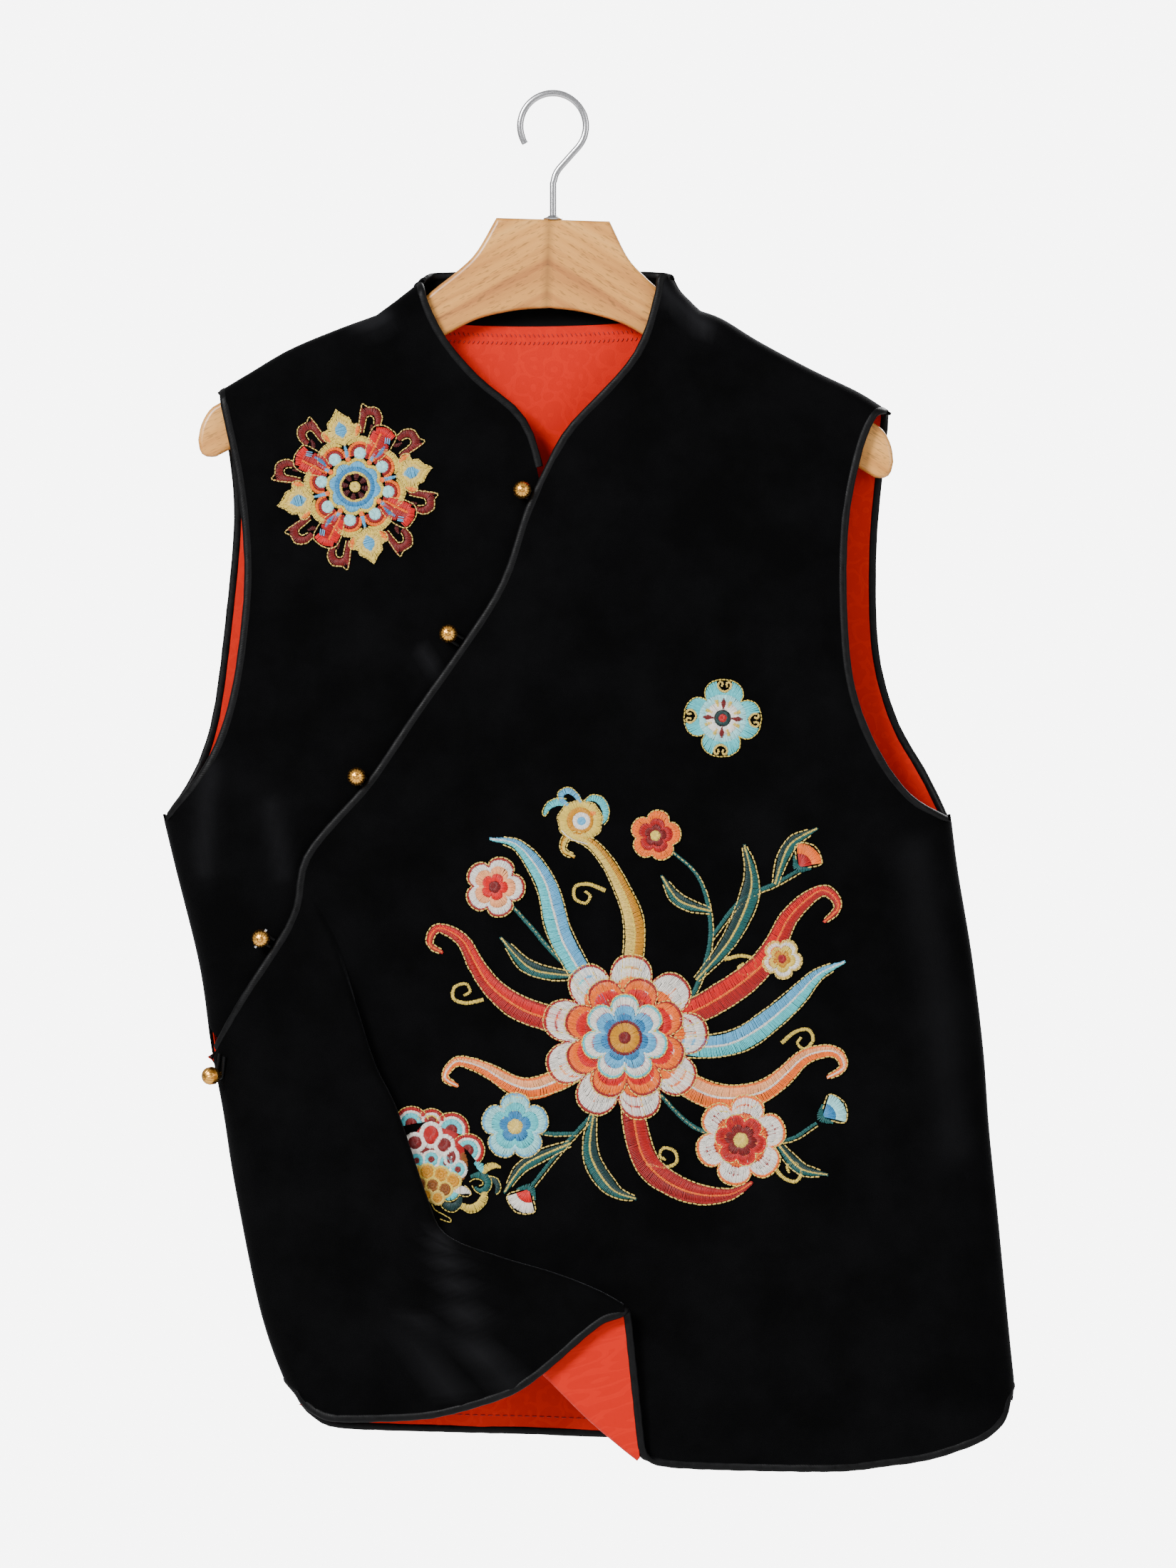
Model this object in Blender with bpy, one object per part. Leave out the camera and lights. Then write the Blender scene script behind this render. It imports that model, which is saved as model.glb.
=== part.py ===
# Embroidered velvet vest on a wooden hanger: the cut and sewn pieces, and the hanger that holds them.
# Millimetres here, metres in the scene. x runs to the right, y away from the viewer, z up.
# The origin is the inner top of the hanger's hook. "drop" is the distance below it.
import math

import bmesh
import bpy
import numpy as np
from mathutils import Vector

MM = 0.001

# Cloth
VELVET = 1.2
LINING = 1.0
GAP = 0.3
STACK = VELVET + GAP + LINING
COLLAR_WALL = 2.0
BINDING_WIDTH = 3.6
BINDING_HEIGHT = 3.4
BOUND = BINDING_WIDTH + GAP
UNDERLAP = 42.0
OVERLAP_LIFT = 4.9

# How far each side stands from the middle plane: at the shoulders, and from the underarms down
SHOULDER_DEPTH = 11.2
FRONT_DEPTH = 22.0
BACK_DEPTH = 17.0
SHOULDER_ROUND = 8.5
ARMHOLE_ROUND = 14.0
ON_SEAM = 0.2
SIDE_ROUND = 34.0

# The fold in the front: radii of its outer and inner turn, and how steeply it stands
OUTER_TURN = 4.4
INNER_TURN = 1.2
FOLD_RISE = 4.4

# Buttons, hanger and hook
BALL = 10.6
SHANK = 2.6
SHANK_LENGTH = 2.4
LOOP_WIRE = 1.6
HANGER_THICK = 10.0
EDGE_ROUND = 2.4
HANGER_TILT = math.radians(1.8)
HEAD_DROP = 71.0
HOOK_WIRE = 3.8
HOOK_INSIDE = 34.0

# Finished edges, as (x, drop). LEFT and RIGHT are as seen from the front; objects are named for the
# wearer's side, so the front that laps over is the wearer's left one
LEFT_COLLAR = [(-74.6, 104.5), (-79.2, 108.7), (-88.4, 116.0), (-101.7, 125.8)]
LEFT_SHOULDER = [(-101.7, 125.8), (-124.2, 134.0), (-151.3, 145.4), (-173.8, 158.6), (-192.7, 170.0)]
RIGHT_COLLAR = [(68.0, 102.5), (72.4, 110.9), (78.4, 117.2), (84.9, 123.3)]
RIGHT_SHOULDER = [
    (84.9, 123.3), (97.5, 128.0), (118.5, 140.9), (149.2, 157.3), (176.0, 170.2), (194.3, 181.9),
]
LEFT_SIDE = [
    (-224.7, 412.8), (-217.3, 443.5), (-203.4, 500.1), (-196.8, 546.0), (-189.8, 584.1),
    (-183.7, 623.1), (-171.8, 684.2), (-164.0, 713.7), (-155.0, 737.5), (-150.5, 746.0),
]
RIGHT_SIDE = [
    (228.8, 412.8), (232.9, 445.2), (241.1, 494.8), (247.6, 548.9), (250.9, 594.0),
    (255.5, 639.5), (259.4, 680.0), (263.6, 722.7), (265.3, 740.0), (264.6, 750.0),
]
# Where the sides would run past the armholes; the cloth there stops short of them
LEFT_ARM_LINE = [
    (-192.7, 170.0), (-205.0, 184.0), (-212.0, 230.0), (-216.0, 300.0), (-221.0, 370.0), (-224.7, 412.8),
]
RIGHT_ARM_LINE = [
    (194.3, 181.9), (203.0, 196.0), (208.0, 240.0), (213.0, 300.0), (221.0, 370.0), (228.8, 412.8),
]

LEFT_ARMHOLE_FRONT = [
    (-192.7, 170.0), (-189.0, 187.7), (-181.2, 225.0), (-177.1, 274.6), (-181.2, 322.6),
    (-186.6, 351.3), (-195.2, 375.9), (-209.5, 397.2), (-224.7, 412.8),
]
LEFT_ARMHOLE_BACK = [
    (-192.7, 170.0), (-187.4, 203.7), (-184.1, 241.0), (-189.0, 298.0), (-197.2, 358.2),
    (-209.5, 391.9), (-224.7, 412.8),
]
RIGHT_ARMHOLE_FRONT = [
    (194.3, 181.9), (184.4, 186.5), (175.9, 211.5), (169.7, 247.1), (168.9, 295.9), (173.4, 341.0),
    (188.2, 378.3), (207.9, 404.0), (228.8, 412.8),
]
RIGHT_ARMHOLE_BACK = [
    (194.3, 181.9), (189.8, 221.3), (186.6, 263.1), (188.2, 320.1), (199.7, 360.7),
    (215.0, 386.0), (228.8, 412.8),
]

RIGHT_NECK = [
    (-74.9, 104.5), (-71.8, 118.0), (-61.9, 138.9), (-39.0, 165.1), (-24.2, 174.6),
    (-12.5, 187.5), (-6.6, 208.2),
]
LEFT_NECK = [
    (60.2, 101.0), (57.4, 116.7), (48.4, 145.4), (26.7, 170.9), (5.7, 191.8), (-4.1, 212.3),
]
SLANT = [
    (-4.1, 212.3), (-17.2, 238.9), (-29.5, 278.3), (-52.1, 314.4), (-80.4, 354.5), (-105.4, 391.9),
    (-128.3, 417.3), (-144.7, 437.8), (-147.0, 452.0), (-150.4, 471.5), (-179.2, 516.9), (-196.6, 546.0),
]
FOLD_START = 452.0
SIDE_ABOVE_FOLD = 466.0
CROSSING = 203.0
TUCKED_IN = 9.0
# Tops of the two fronts beside the neck
LEFT_TOP = (-79.2, 108.7)
RIGHT_TOP = [(64.0, 105.4), (69.8, 106.2)]
COLLAR_EDGE = [(-77.0, 106.6), (-65.6, 104.4), (0.0, 103.4), (60.0, 104.1), (69.4, 105.4)]
COLLAR_ENDS = (-101.1, 125.3), (84.3, 122.8)
BACK_NECK = [(-101.7, 125.8), (-60.0, 130.6), (-8.0, 132.0), (45.0, 129.6), (84.9, 123.3)]
LEFT_HEM = [
    (-150.5, 746.0), (-146.0, 751.8), (-136.5, 757.6), (-124.6, 761.3), (-77.5, 760.0), (-53.7, 755.5),
    (-20.5, 744.0), (3.3, 725.6), (18.9, 711.7), (32.8, 701.0), (43.0, 696.0),
]
RIGHT_HEM = [
    (51.5, 782.0), (59.5, 786.6), (99.2, 789.1), (162.4, 789.6), (188.6, 787.0), (216.1, 783.0),
    (241.9, 774.4), (253.4, 767.8), (261.6, 758.4), (264.6, 750.0),
]
BACK_HEM = [
    (-150.5, 746.0), (-145.0, 756.0), (-134.0, 764.5), (-120.0, 768.2), (-26.2, 770.5), (42.6, 773.2),
    (160.0, 776.4), (215.0, 775.0), (245.0, 769.0), (259.0, 760.0), (264.6, 750.0),
]

# The fold: outer edge, the way it points (degrees above +x), and the depth of cloth doubled under it
FOLD = [
    (-143.0, 452.0, 25, 0.0), (-125.5, 486.0, 25, 2.5), (-113.0, 520.0, 25, 4.4), (-101.7, 555.0, 25, 5.0),
    (-89.0, 581.3, 26, 5.5), (-72.2, 630.1, 30, 7.0), (-61.1, 652.6, 40, 12.0), (-31.2, 664.9, 66, 30.0),
    (2.0, 675.0, 80, 50.0), (26.0, 684.5, 90, 72.0), (40.5, 692.5, 96, 84.0),
]

# The hem binding's way round the folded corner, as (x, y, z)
HEM_CORNER = [(52.4, -26.0, -783.0), (54.5, -24.3, -785.6), (59.0, -21.2, -785.4)]

# Soft folds and creases: side, start, middle and end as (x, drop), half width and height
CREASES = [
    ("front", (-60.7, 657.9), (-47.2, 698.9), (-23.0, 741.0), 9.0, 3.2),
    ("front", (-83.0, 690.0), (-76.0, 715.0), (-59.0, 748.0), 9.0, 2.4),
    ("front", (-193.0, 396.0), (-200.0, 455.0), (-199.0, 520.0), 8.0, 3.0),
    ("front", (-160.0, 400.0), (-150.0, 430.0), (-146.0, 470.0), 10.0, 1.6),
    ("front", (205.0, 430.0), (222.0, 520.0), (230.0, 610.0), 16.0, -2.2),
    ("front", (150.0, 640.0), (164.0, 710.0), (160.0, 788.0), 24.0, 2.4),
    ("front", (95.0, 560.0), (90.0, 680.0), (100.0, 788.0), 26.0, -2.0),
    ("back", (-120.0, 440.0), (-128.0, 590.0), (-108.0, 770.0), 26.0, 3.0),
    ("back", (-40.0, 520.0), (-34.0, 640.0), (-44.0, 770.0), 22.0, -2.6),
    ("back", (60.0, 470.0), (72.0, 620.0), (66.0, 774.0), 28.0, 3.4),
    ("back", (168.0, 500.0), (160.0, 620.0), (176.0, 775.0), 20.0, -2.6),
    ("back", (-10.0, 170.0), (0.0, 235.0), (12.0, 300.0), 26.0, -1.6),
]

# Buttons: where they are sewn, the way their loop runs (degrees above +x) and how far, to the bound edge
BUTTONS = [
    (-17.6, 227.4, -26, 5.2), (-59.9, 309.9, -32, 8.7), (-112.3, 391.4, -34, 5.8),
    (-166.5, 482.9, -32, 7.2), (-190.0, 561.6, 60, 12.0),
]

# One half of the hanger, as (distance from its middle, distance below its head)
HEAD_EDGE = [(32.6, 0.0), (43.4, 20.0), (53.8, 31.0), (65.0, 40.4), (74.0, 48.0)]
ARM_TOP = [(88.0, 57.0), (105.0, 65.5), (125.0, 75.4), (150.0, 88.0), (172.0, 100.5), (186.0, 110.0)]
ARM_TIP = [(193.5, 115.0), (198.4, 124.0), (200.0, 133.0), (198.0, 140.5), (192.0, 142.5), (183.0, 138.5)]
ARM_UNDER = [(120.0, 102.0), (76.0, 78.0), (60.4, 68.6), (41.5, 58.2), (18.7, 52.4), (0.0, 50.6)]

# Rows and columns of the cloth. A column is given as a fraction of its row, closer at the rounded sides
ROWS_IN_FOLD = 15
ROWS_TO_SIDE = 5
WIDE_COLUMNS = (0, 0.04, 0.12, 0.2, 0.3, 0.4, 0.5, 0.6, 0.7, 0.79, 0.865, 0.925, 0.967, 0.991, 1)
LEFT_COLUMNS = (0, 0.02, 0.08, 0.2, 0.42, 0.7, 1)
SHOULDER_COLUMNS = (0, 0.15, 0.31, 0.47, 0.63, 0.78, 0.88, 0.94, 0.975, 0.993, 1)
RIGHT_COLUMNS = (0, 0.03, 0.1, 0.2, 0.32, 0.45, 0.6, 0.75, 0.88, 1)
BACK_COLUMNS = (
    0, 0.008, 0.03, 0.075, 0.14, 0.2, 0.25, 0.3, 0.36, 0.45,
    0.55, 0.64, 0.7, 0.75, 0.8, 0.86, 0.925, 0.97, 0.992, 1,
)
NECK_COLUMNS = (0, 0.025, 0.07, 0.16, 0.36, 0.64, 0.84, 0.93, 0.975, 1)
TURN_STEPS = 4
RING = 6

COLOURS = {
    "velvet": ((0.006, 0.006, 0.007, 1), 0.9, 0.0),
    "lining": ((0.62, 0.035, 0.012, 1), 0.45, 0.0),
    "binding": ((0.014, 0.014, 0.016, 1), 0.5, 0.0),
    "gold": ((0.75, 0.48, 0.16, 1), 0.3, 1.0),
    "beech": ((0.66, 0.40, 0.20, 1), 0.45, 0.0),
    "steel": ((0.62, 0.62, 0.64, 1), 0.25, 1.0),
}


def smooth(points, steps=10):
    # A smooth curve through the points, dense enough to be read as a polyline.
    p = np.array(points, float)
    p = np.vstack([2 * p[0] - p[1], p, 2 * p[-1] - p[-2]])
    t = np.linspace(0, 1, steps, endpoint=False)[:, None]
    spans = []
    for a, b, c, d in zip(p, p[1:], p[2:], p[3:]):
        squared = (2 * a - 5 * b + 4 * c - d) * t**2
        cubed = (3 * b - a - 3 * c + d) * t**3
        spans.append(0.5 * (2 * b + (c - a) * t + squared + cubed))
    return np.vstack(spans + [p[-2][None]])


def lengths(curve):
    steps = np.linalg.norm(np.diff(curve, axis=0), axis=1)
    return np.concatenate([[0], np.cumsum(steps)])


def sample(curve, fractions):
    # Points of the polyline at these fractions of its length.
    run = lengths(curve)
    at = np.asarray(fractions) * run[-1]
    return np.stack([np.interp(at, run, curve[:, k]) for k in range(curve.shape[1])], axis=1)


def shifted(curve, distance):
    # The curve moved sideways, to the left of its direction as seen with drop pointing down.
    run = np.gradient(curve, axis=0)
    run /= np.linalg.norm(run, axis=1)[:, None]
    return curve + distance * np.stack([run[:, 1], -run[:, 0]], axis=1)


def join(*curves):
    parts = [curves[0]] + [c[1:] for c in curves[1:]]
    return np.vstack(parts)


def step(value):
    v = np.clip(value, 0, 1)
    return v * v * (3 - 2 * v)


def distance_to(curve, points):
    a, b = curve[:-1], curve[1:]
    ab = b - a
    ap = points[:, None, :] - a
    t = np.clip((ap * ab).sum(2) / (ab * ab).sum(1), 0, 1)
    return np.linalg.norm(ap - t[..., None] * ab, axis=2).min(axis=1)


LEFT_SIDE_CURVE = smooth(LEFT_SIDE)
RIGHT_SIDE_CURVE = smooth(RIGHT_SIDE)
LEFT_LINE = join(smooth(LEFT_COLLAR), smooth(LEFT_SHOULDER), smooth(LEFT_ARM_LINE), LEFT_SIDE_CURVE)
RIGHT_LINE = join(smooth(RIGHT_COLLAR), smooth(RIGHT_SHOULDER), smooth(RIGHT_ARM_LINE), RIGHT_SIDE_CURVE)
CREASE_LINES = [(side, smooth((a, b, c), 6), width, height) for side, a, b, c, width, height in CREASES]


def rounding(points):
    # 0 on the seams that join front and back, 1 away from them, along a quarter of an ellipse.
    drop = points[:, 1]
    radius = SHOULDER_ROUND + (ARMHOLE_ROUND - SHOULDER_ROUND) * step((drop - 180) / 40)
    radius = radius + (SIDE_ROUND - ARMHOLE_ROUND) * step((drop - 240) / 170)
    near = np.minimum(distance_to(LEFT_LINE, points), distance_to(RIGHT_LINE, points))
    near = np.where(near < ON_SEAM, 0, near)
    return np.sqrt(1 - (1 - np.minimum(near / radius, 1)) ** 2)


def depth(points, side):
    # How far the face of this side of the vest stands from the middle plane.
    full = FRONT_DEPTH if side == "front" else BACK_DEPTH
    round_off = rounding(points)
    reach = SHOULDER_DEPTH + (full - SHOULDER_DEPTH) * step((points[:, 1] - 150) / 260)
    for crease_side, line, width, height in CREASE_LINES:
        if crease_side == side:
            reach = reach + height * np.exp(-((distance_to(line, points) / width) ** 2))
    return GAP / 2 + reach * round_off


SLANT_CURVE = smooth(SLANT)


def overlap(points):
    # 1 where the left front lies on the right front, fading out past the hidden edge of the lower one.
    edge = np.interp(points[:, 1], SLANT_CURVE[:, 1], SLANT_CURVE[:, 0])
    across = points[:, 0] - edge
    fade = 1 - step((across - UNDERLAP - 6) / 30)
    fade = fade * step((points[:, 1] - 190) / 30) * (1 - step((points[:, 1] - 596) / 30))
    return fade


def patch(top, bottom, left, right, down):
    # A patch between four edges that meet at the corners, as rows of (x, drop).
    s = spread(lengths(top), lengths(bottom), down)[..., None]
    v = np.asarray(down)[:, None, None]
    sides = (1 - s) * left[:, None] + s * right[:, None]
    ends = (1 - v) * top[None] + v * bottom[None]
    top_corners = (1 - v) * ((1 - s) * top[0] + s * top[-1])
    bottom_corners = v * ((1 - s) * bottom[0] + s * bottom[-1])
    return sides + ends - top_corners - bottom_corners


def spread(top_run, bottom_run, down):
    # Fractions across each row, from those of the first row to those of the last.
    v = np.asarray(down)[:, None]
    first = top_run / max(top_run[-1], 1e-9) if top_run[-1] > 0 else bottom_run / bottom_run[-1]
    return (1 - v) * first + v * bottom_run / bottom_run[-1]


def face_depth(flat, side, over):
    # The depth of a panel's face at points (x, drop); the left front is over the right one.
    out = depth(flat, side)
    if over:
        out = out + OVERLAP_LIFT * overlap(flat) * rounding(flat) ** 0.25
    return out


def lift(grid, side, over=False):
    out = face_depth(grid.reshape(-1, 2), side, over).reshape(grid.shape[:2])
    sign = -1 if side == "front" else 1
    return np.stack([grid[..., 0], sign * out, -grid[..., 1]], axis=2)


def joined(grids):
    # Points and triangles of grids that share edges; equal points are one, and empty triangles are dropped.
    index, points, faces = {}, [], []
    for grid in grids:
        rows, columns = grid.shape[:2]
        number = np.empty((rows, columns), int)
        for i in range(rows):
            for j in range(columns):
                key = tuple(np.round(grid[i, j], 3))
                if key not in index:
                    index[key] = len(points)
                    points.append(grid[i, j])
                number[i, j] = index[key]
        for i in range(rows - 1):
            for j in range(columns - 1):
                a, b, c, d = number[i, j], number[i, j + 1], number[i + 1, j + 1], number[i + 1, j]
                faces += [face for face in ([a, b, c], [a, c, d]) if len(set(face)) == 3]
    return np.array(points), faces


def mesh_normals(points, faces, side):
    out = np.zeros_like(points)
    for face in faces:
        p = points[face]
        normal = np.cross(p[1] - p[0], p[2] - p[0])
        for corner in face:
            out[corner] += normal
    wanted = -1 if side == "front" else 1
    return unit(out) * (1 if out[:, 1].sum() * wanted > 0 else -1)


def seam_normals(flat):
    # The direction out of the side line nearest to each point on it, in the middle plane.
    best = np.full(len(flat), np.inf)
    out = np.zeros((len(flat), 3))
    for line, turn in ((LEFT_LINE, -1), (RIGHT_LINE, 1)):
        run = unit(np.diff(line, axis=0))
        middle = (line[1:] + line[:-1]) / 2
        away = np.linalg.norm(flat[:, None] - middle, axis=2)
        near = away.argmin(axis=1)
        closer = away.min(axis=1) < best
        best = np.minimum(best, away.min(axis=1))
        found = np.stack([run[near, 1] * turn, np.zeros(len(flat)), run[near, 0] * turn], axis=1)
        out[closer] = found[closer]
    return out


def normals(points, faces, side, over):
    # From the depth's own slope where a point is on it, and from the triangles in the fold.
    sign = -1 if side == "front" else 1
    flat = np.stack([points[:, 0], -points[:, 2]], axis=1)
    reach = 0.02
    slope = []
    for way in ((reach, 0), (0, reach)):
        rise = face_depth(flat + way, side, over) - face_depth(flat - np.array(way), side, over)
        slope.append(rise / (2 * reach))
    found = unit(np.stack([-slope[0], np.full(len(flat), sign), slope[1]], axis=1))
    out = mesh_normals(points, faces, side)
    on_face = np.abs(sign * points[:, 1] - face_depth(flat, side, over)) < 1e-6
    out[on_face] = found[on_face]
    seam = np.abs(sign * points[:, 1] - GAP / 2) < 0.01
    out[seam] = seam_normals(flat[seam])
    return out


def material(name):
    found = bpy.data.materials.get(name)
    if found:
        return found
    colour, roughness, metallic = COLOURS[name]
    made = bpy.data.materials.new(name)
    made.use_nodes = True
    shader = made.node_tree.nodes["Principled BSDF"]
    shader.inputs["Base Color"].default_value = colour
    shader.inputs["Roughness"].default_value = roughness
    shader.inputs["Metallic"].default_value = metallic
    made.diffuse_color = colour
    return made


def add_object(name, points, faces, finish):
    mesh = bpy.data.meshes.new(name)
    places = [tuple(p * MM for p in point) for point in points]
    mesh.from_pydata(places, [], [list(map(int, f)) for f in faces])
    mesh.materials.append(material(finish))
    obj = bpy.data.objects.new(name, mesh)
    bpy.context.scene.collection.objects.link(obj)
    work = bmesh.new()
    work.from_mesh(mesh)
    bmesh.ops.recalc_face_normals(work, faces=work.faces)
    if work.calc_volume(signed=True) < 0:
        bmesh.ops.reverse_faces(work, faces=work.faces)
    work.to_mesh(mesh)
    work.free()
    mesh.shade_smooth()
    mesh.set_sharp_from_angle(angle=math.radians(40))
    return obj


def wall(name, sheet, near, far, finish, side):
    # A closed wall between two depths below the sheet's face.
    points, faces, out = sheet
    outer = points - out * near
    inner = points - out * far
    sign = -1 if side == "front" else 1
    for layer in (outer, inner):
        layer[:, 1] = sign * np.maximum(sign * layer[:, 1], GAP / 2)
    count = len(points)
    edges = {}
    for face in faces:
        for a, b in zip(face, face[1:] + face[:1]):
            edges[(a, b)] = edges.get((a, b), 0) + 1
    rim = [(a, b) for a, b in edges if (b, a) not in edges]
    solid = [list(f) for f in faces]
    solid += [[p + count for p in reversed(f)] for f in faces]
    solid += [[b, a, a + count, b + count] for a, b in rim]
    return add_object(name, np.vstack([outer, inner]), solid, finish)


def sheet_of(grids, side, over=False):
    points, faces = joined(grids)
    return points, faces, normals(points, faces, side, over)


def sweep(name, centre, wide, high, half_width, half_height, finish, keep=None, ring=RING):
    # A closed rod of oval section along the centre points.
    points = []
    for k in range(ring):
        angle = 2 * math.pi * (k + 0.5) / ring
        points.append(centre + wide * half_width * math.cos(angle) + high * half_height * math.sin(angle))
    points = np.stack(points, axis=1)
    if keep:
        points[..., 1] = keep * np.maximum(keep * points[..., 1], GAP / 2)
    count = len(centre)
    flat = points.reshape(-1, 3)
    faces = []
    for i in range(count - 1):
        for k in range(ring):
            n = (k + 1) % ring
            faces.append([i * ring + k, i * ring + n, (i + 1) * ring + n, (i + 1) * ring + k])
    faces.append(list(range(ring)))
    faces.append([(count - 1) * ring + k for k in range(ring)])
    return add_object(name, flat, faces, finish)


def unit(vectors):
    return vectors / np.maximum(np.linalg.norm(vectors, axis=1), 1e-9)[:, None]


def rod_path(edge, inner, sheet, stack=STACK):
    # The middle of a rod just past a wall's edge, half way through it, and the rod's two cross directions.
    points, _, out = sheet
    near = [int(np.argmin(((points - p) ** 2).sum(1))) for p in edge]
    high = out[near]
    run = unit(np.gradient(edge, axis=0))
    away = edge - inner
    away = away - (away * high).sum(1)[:, None] * high
    away = unit(away - (away * run).sum(1)[:, None] * run)
    return edge + away * (GAP + BINDING_WIDTH / 2) - high * stack / 2, away, high


def binding(name, edge, inner, sheet, side, stack=STACK):
    centre, away, high = rod_path(edge, inner, sheet, stack)
    keep = -1 if side == "front" else 1
    return sweep(name, centre, away, high, BINDING_WIDTH / 2, BINDING_HEIGHT / 2, "binding", keep)


def hem_binding(grid, sheet):
    # The front hem's binding: along the left hem and the doubled layer's edge, then round the folded
    # corner, outside the wall, and along the right hem.
    turned = len(LEFT_COLUMNS) + TURN_STEPS + 1
    first = rod_path(grid[-1, :turned + 1], grid[-2, :turned + 1], sheet)
    last = rod_path(grid[-1, turned + TURN_STEPS + 2:], grid[-2, turned + TURN_STEPS + 2:], sheet)
    centre = np.vstack([first[0], HEM_CORNER, last[0]])
    high = np.vstack([first[2], [(0.3, 0.9, 0.2), (0.6, 0.0, 0.8), (0.3, -0.9, 0.3)], last[2]])
    run = unit(np.gradient(centre, axis=0))
    wide = unit(np.cross(run, high))
    high = np.cross(wide, run)
    sweep("front_hem_binding", centre, wide, high, BINDING_WIDTH / 2, BINDING_HEIGHT / 2, "binding", -1)


def fold_rows(count):
    # The fold's rows: outer edge, the way it points, the doubled length and the angle it turns through.
    table = smooth(FOLD)
    rows = sample(table, np.linspace(0, 1, count))
    rows[:, 3] = np.maximum(rows[:, 3], 0)
    aim = np.radians(rows[:, 2])
    way = np.stack([np.cos(aim), -np.sin(aim)], axis=1)
    doubled = rows[:, 3]
    turn = np.where(
        doubled < FOLD_RISE,
        doubled / FOLD_RISE * math.pi / 2,
        math.pi - np.arcsin(np.minimum(FOLD_RISE / np.maximum(doubled, FOLD_RISE), 1)),
    )
    start = rows[:, :2] - way * (OUTER_TURN * np.sin(np.minimum(turn, math.pi / 2)))[:, None]
    return start, way, doubled, turn


def fold_profile(doubled, turn):
    # Points across the fold, as (distance along the way it points, fall from its top).
    turns = np.linspace(0, turn, TURN_STEPS + 1)
    profile = [(OUTER_TURN * math.sin(q), OUTER_TURN * (1 - math.cos(q))) for q in turns]
    across, fall = profile[-1]
    for part in (0.5, 1.0):
        profile.append((across + part * doubled * math.cos(turn), fall + part * doubled * math.sin(turn)))
    across, fall = profile[-1]
    for q in turns[::-1][1:]:
        along = INNER_TURN * (math.sin(turn) - math.sin(q))
        profile.append((across + along, fall + INNER_TURN * (math.cos(q) - math.cos(turn))))
    return np.array(profile)


def row_fractions(total, corner, above, below):
    # Rows down an edge, closer together over the shoulder and at the underarm, as fractions of its length.
    upper = np.linspace(8.0, corner - 9.0, above)
    lower = np.linspace(corner, total, below + 1)
    return np.concatenate([[0, 3.0], upper, lower]) / total


def keyed(curves, counts):
    # Points along joined curves, with this many steps on each, so that their corners are kept.
    parts = [sample(curve, np.linspace(0, 1, count + 1)) for curve, count in zip(curves, counts)]
    return join(*parts)


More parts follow.
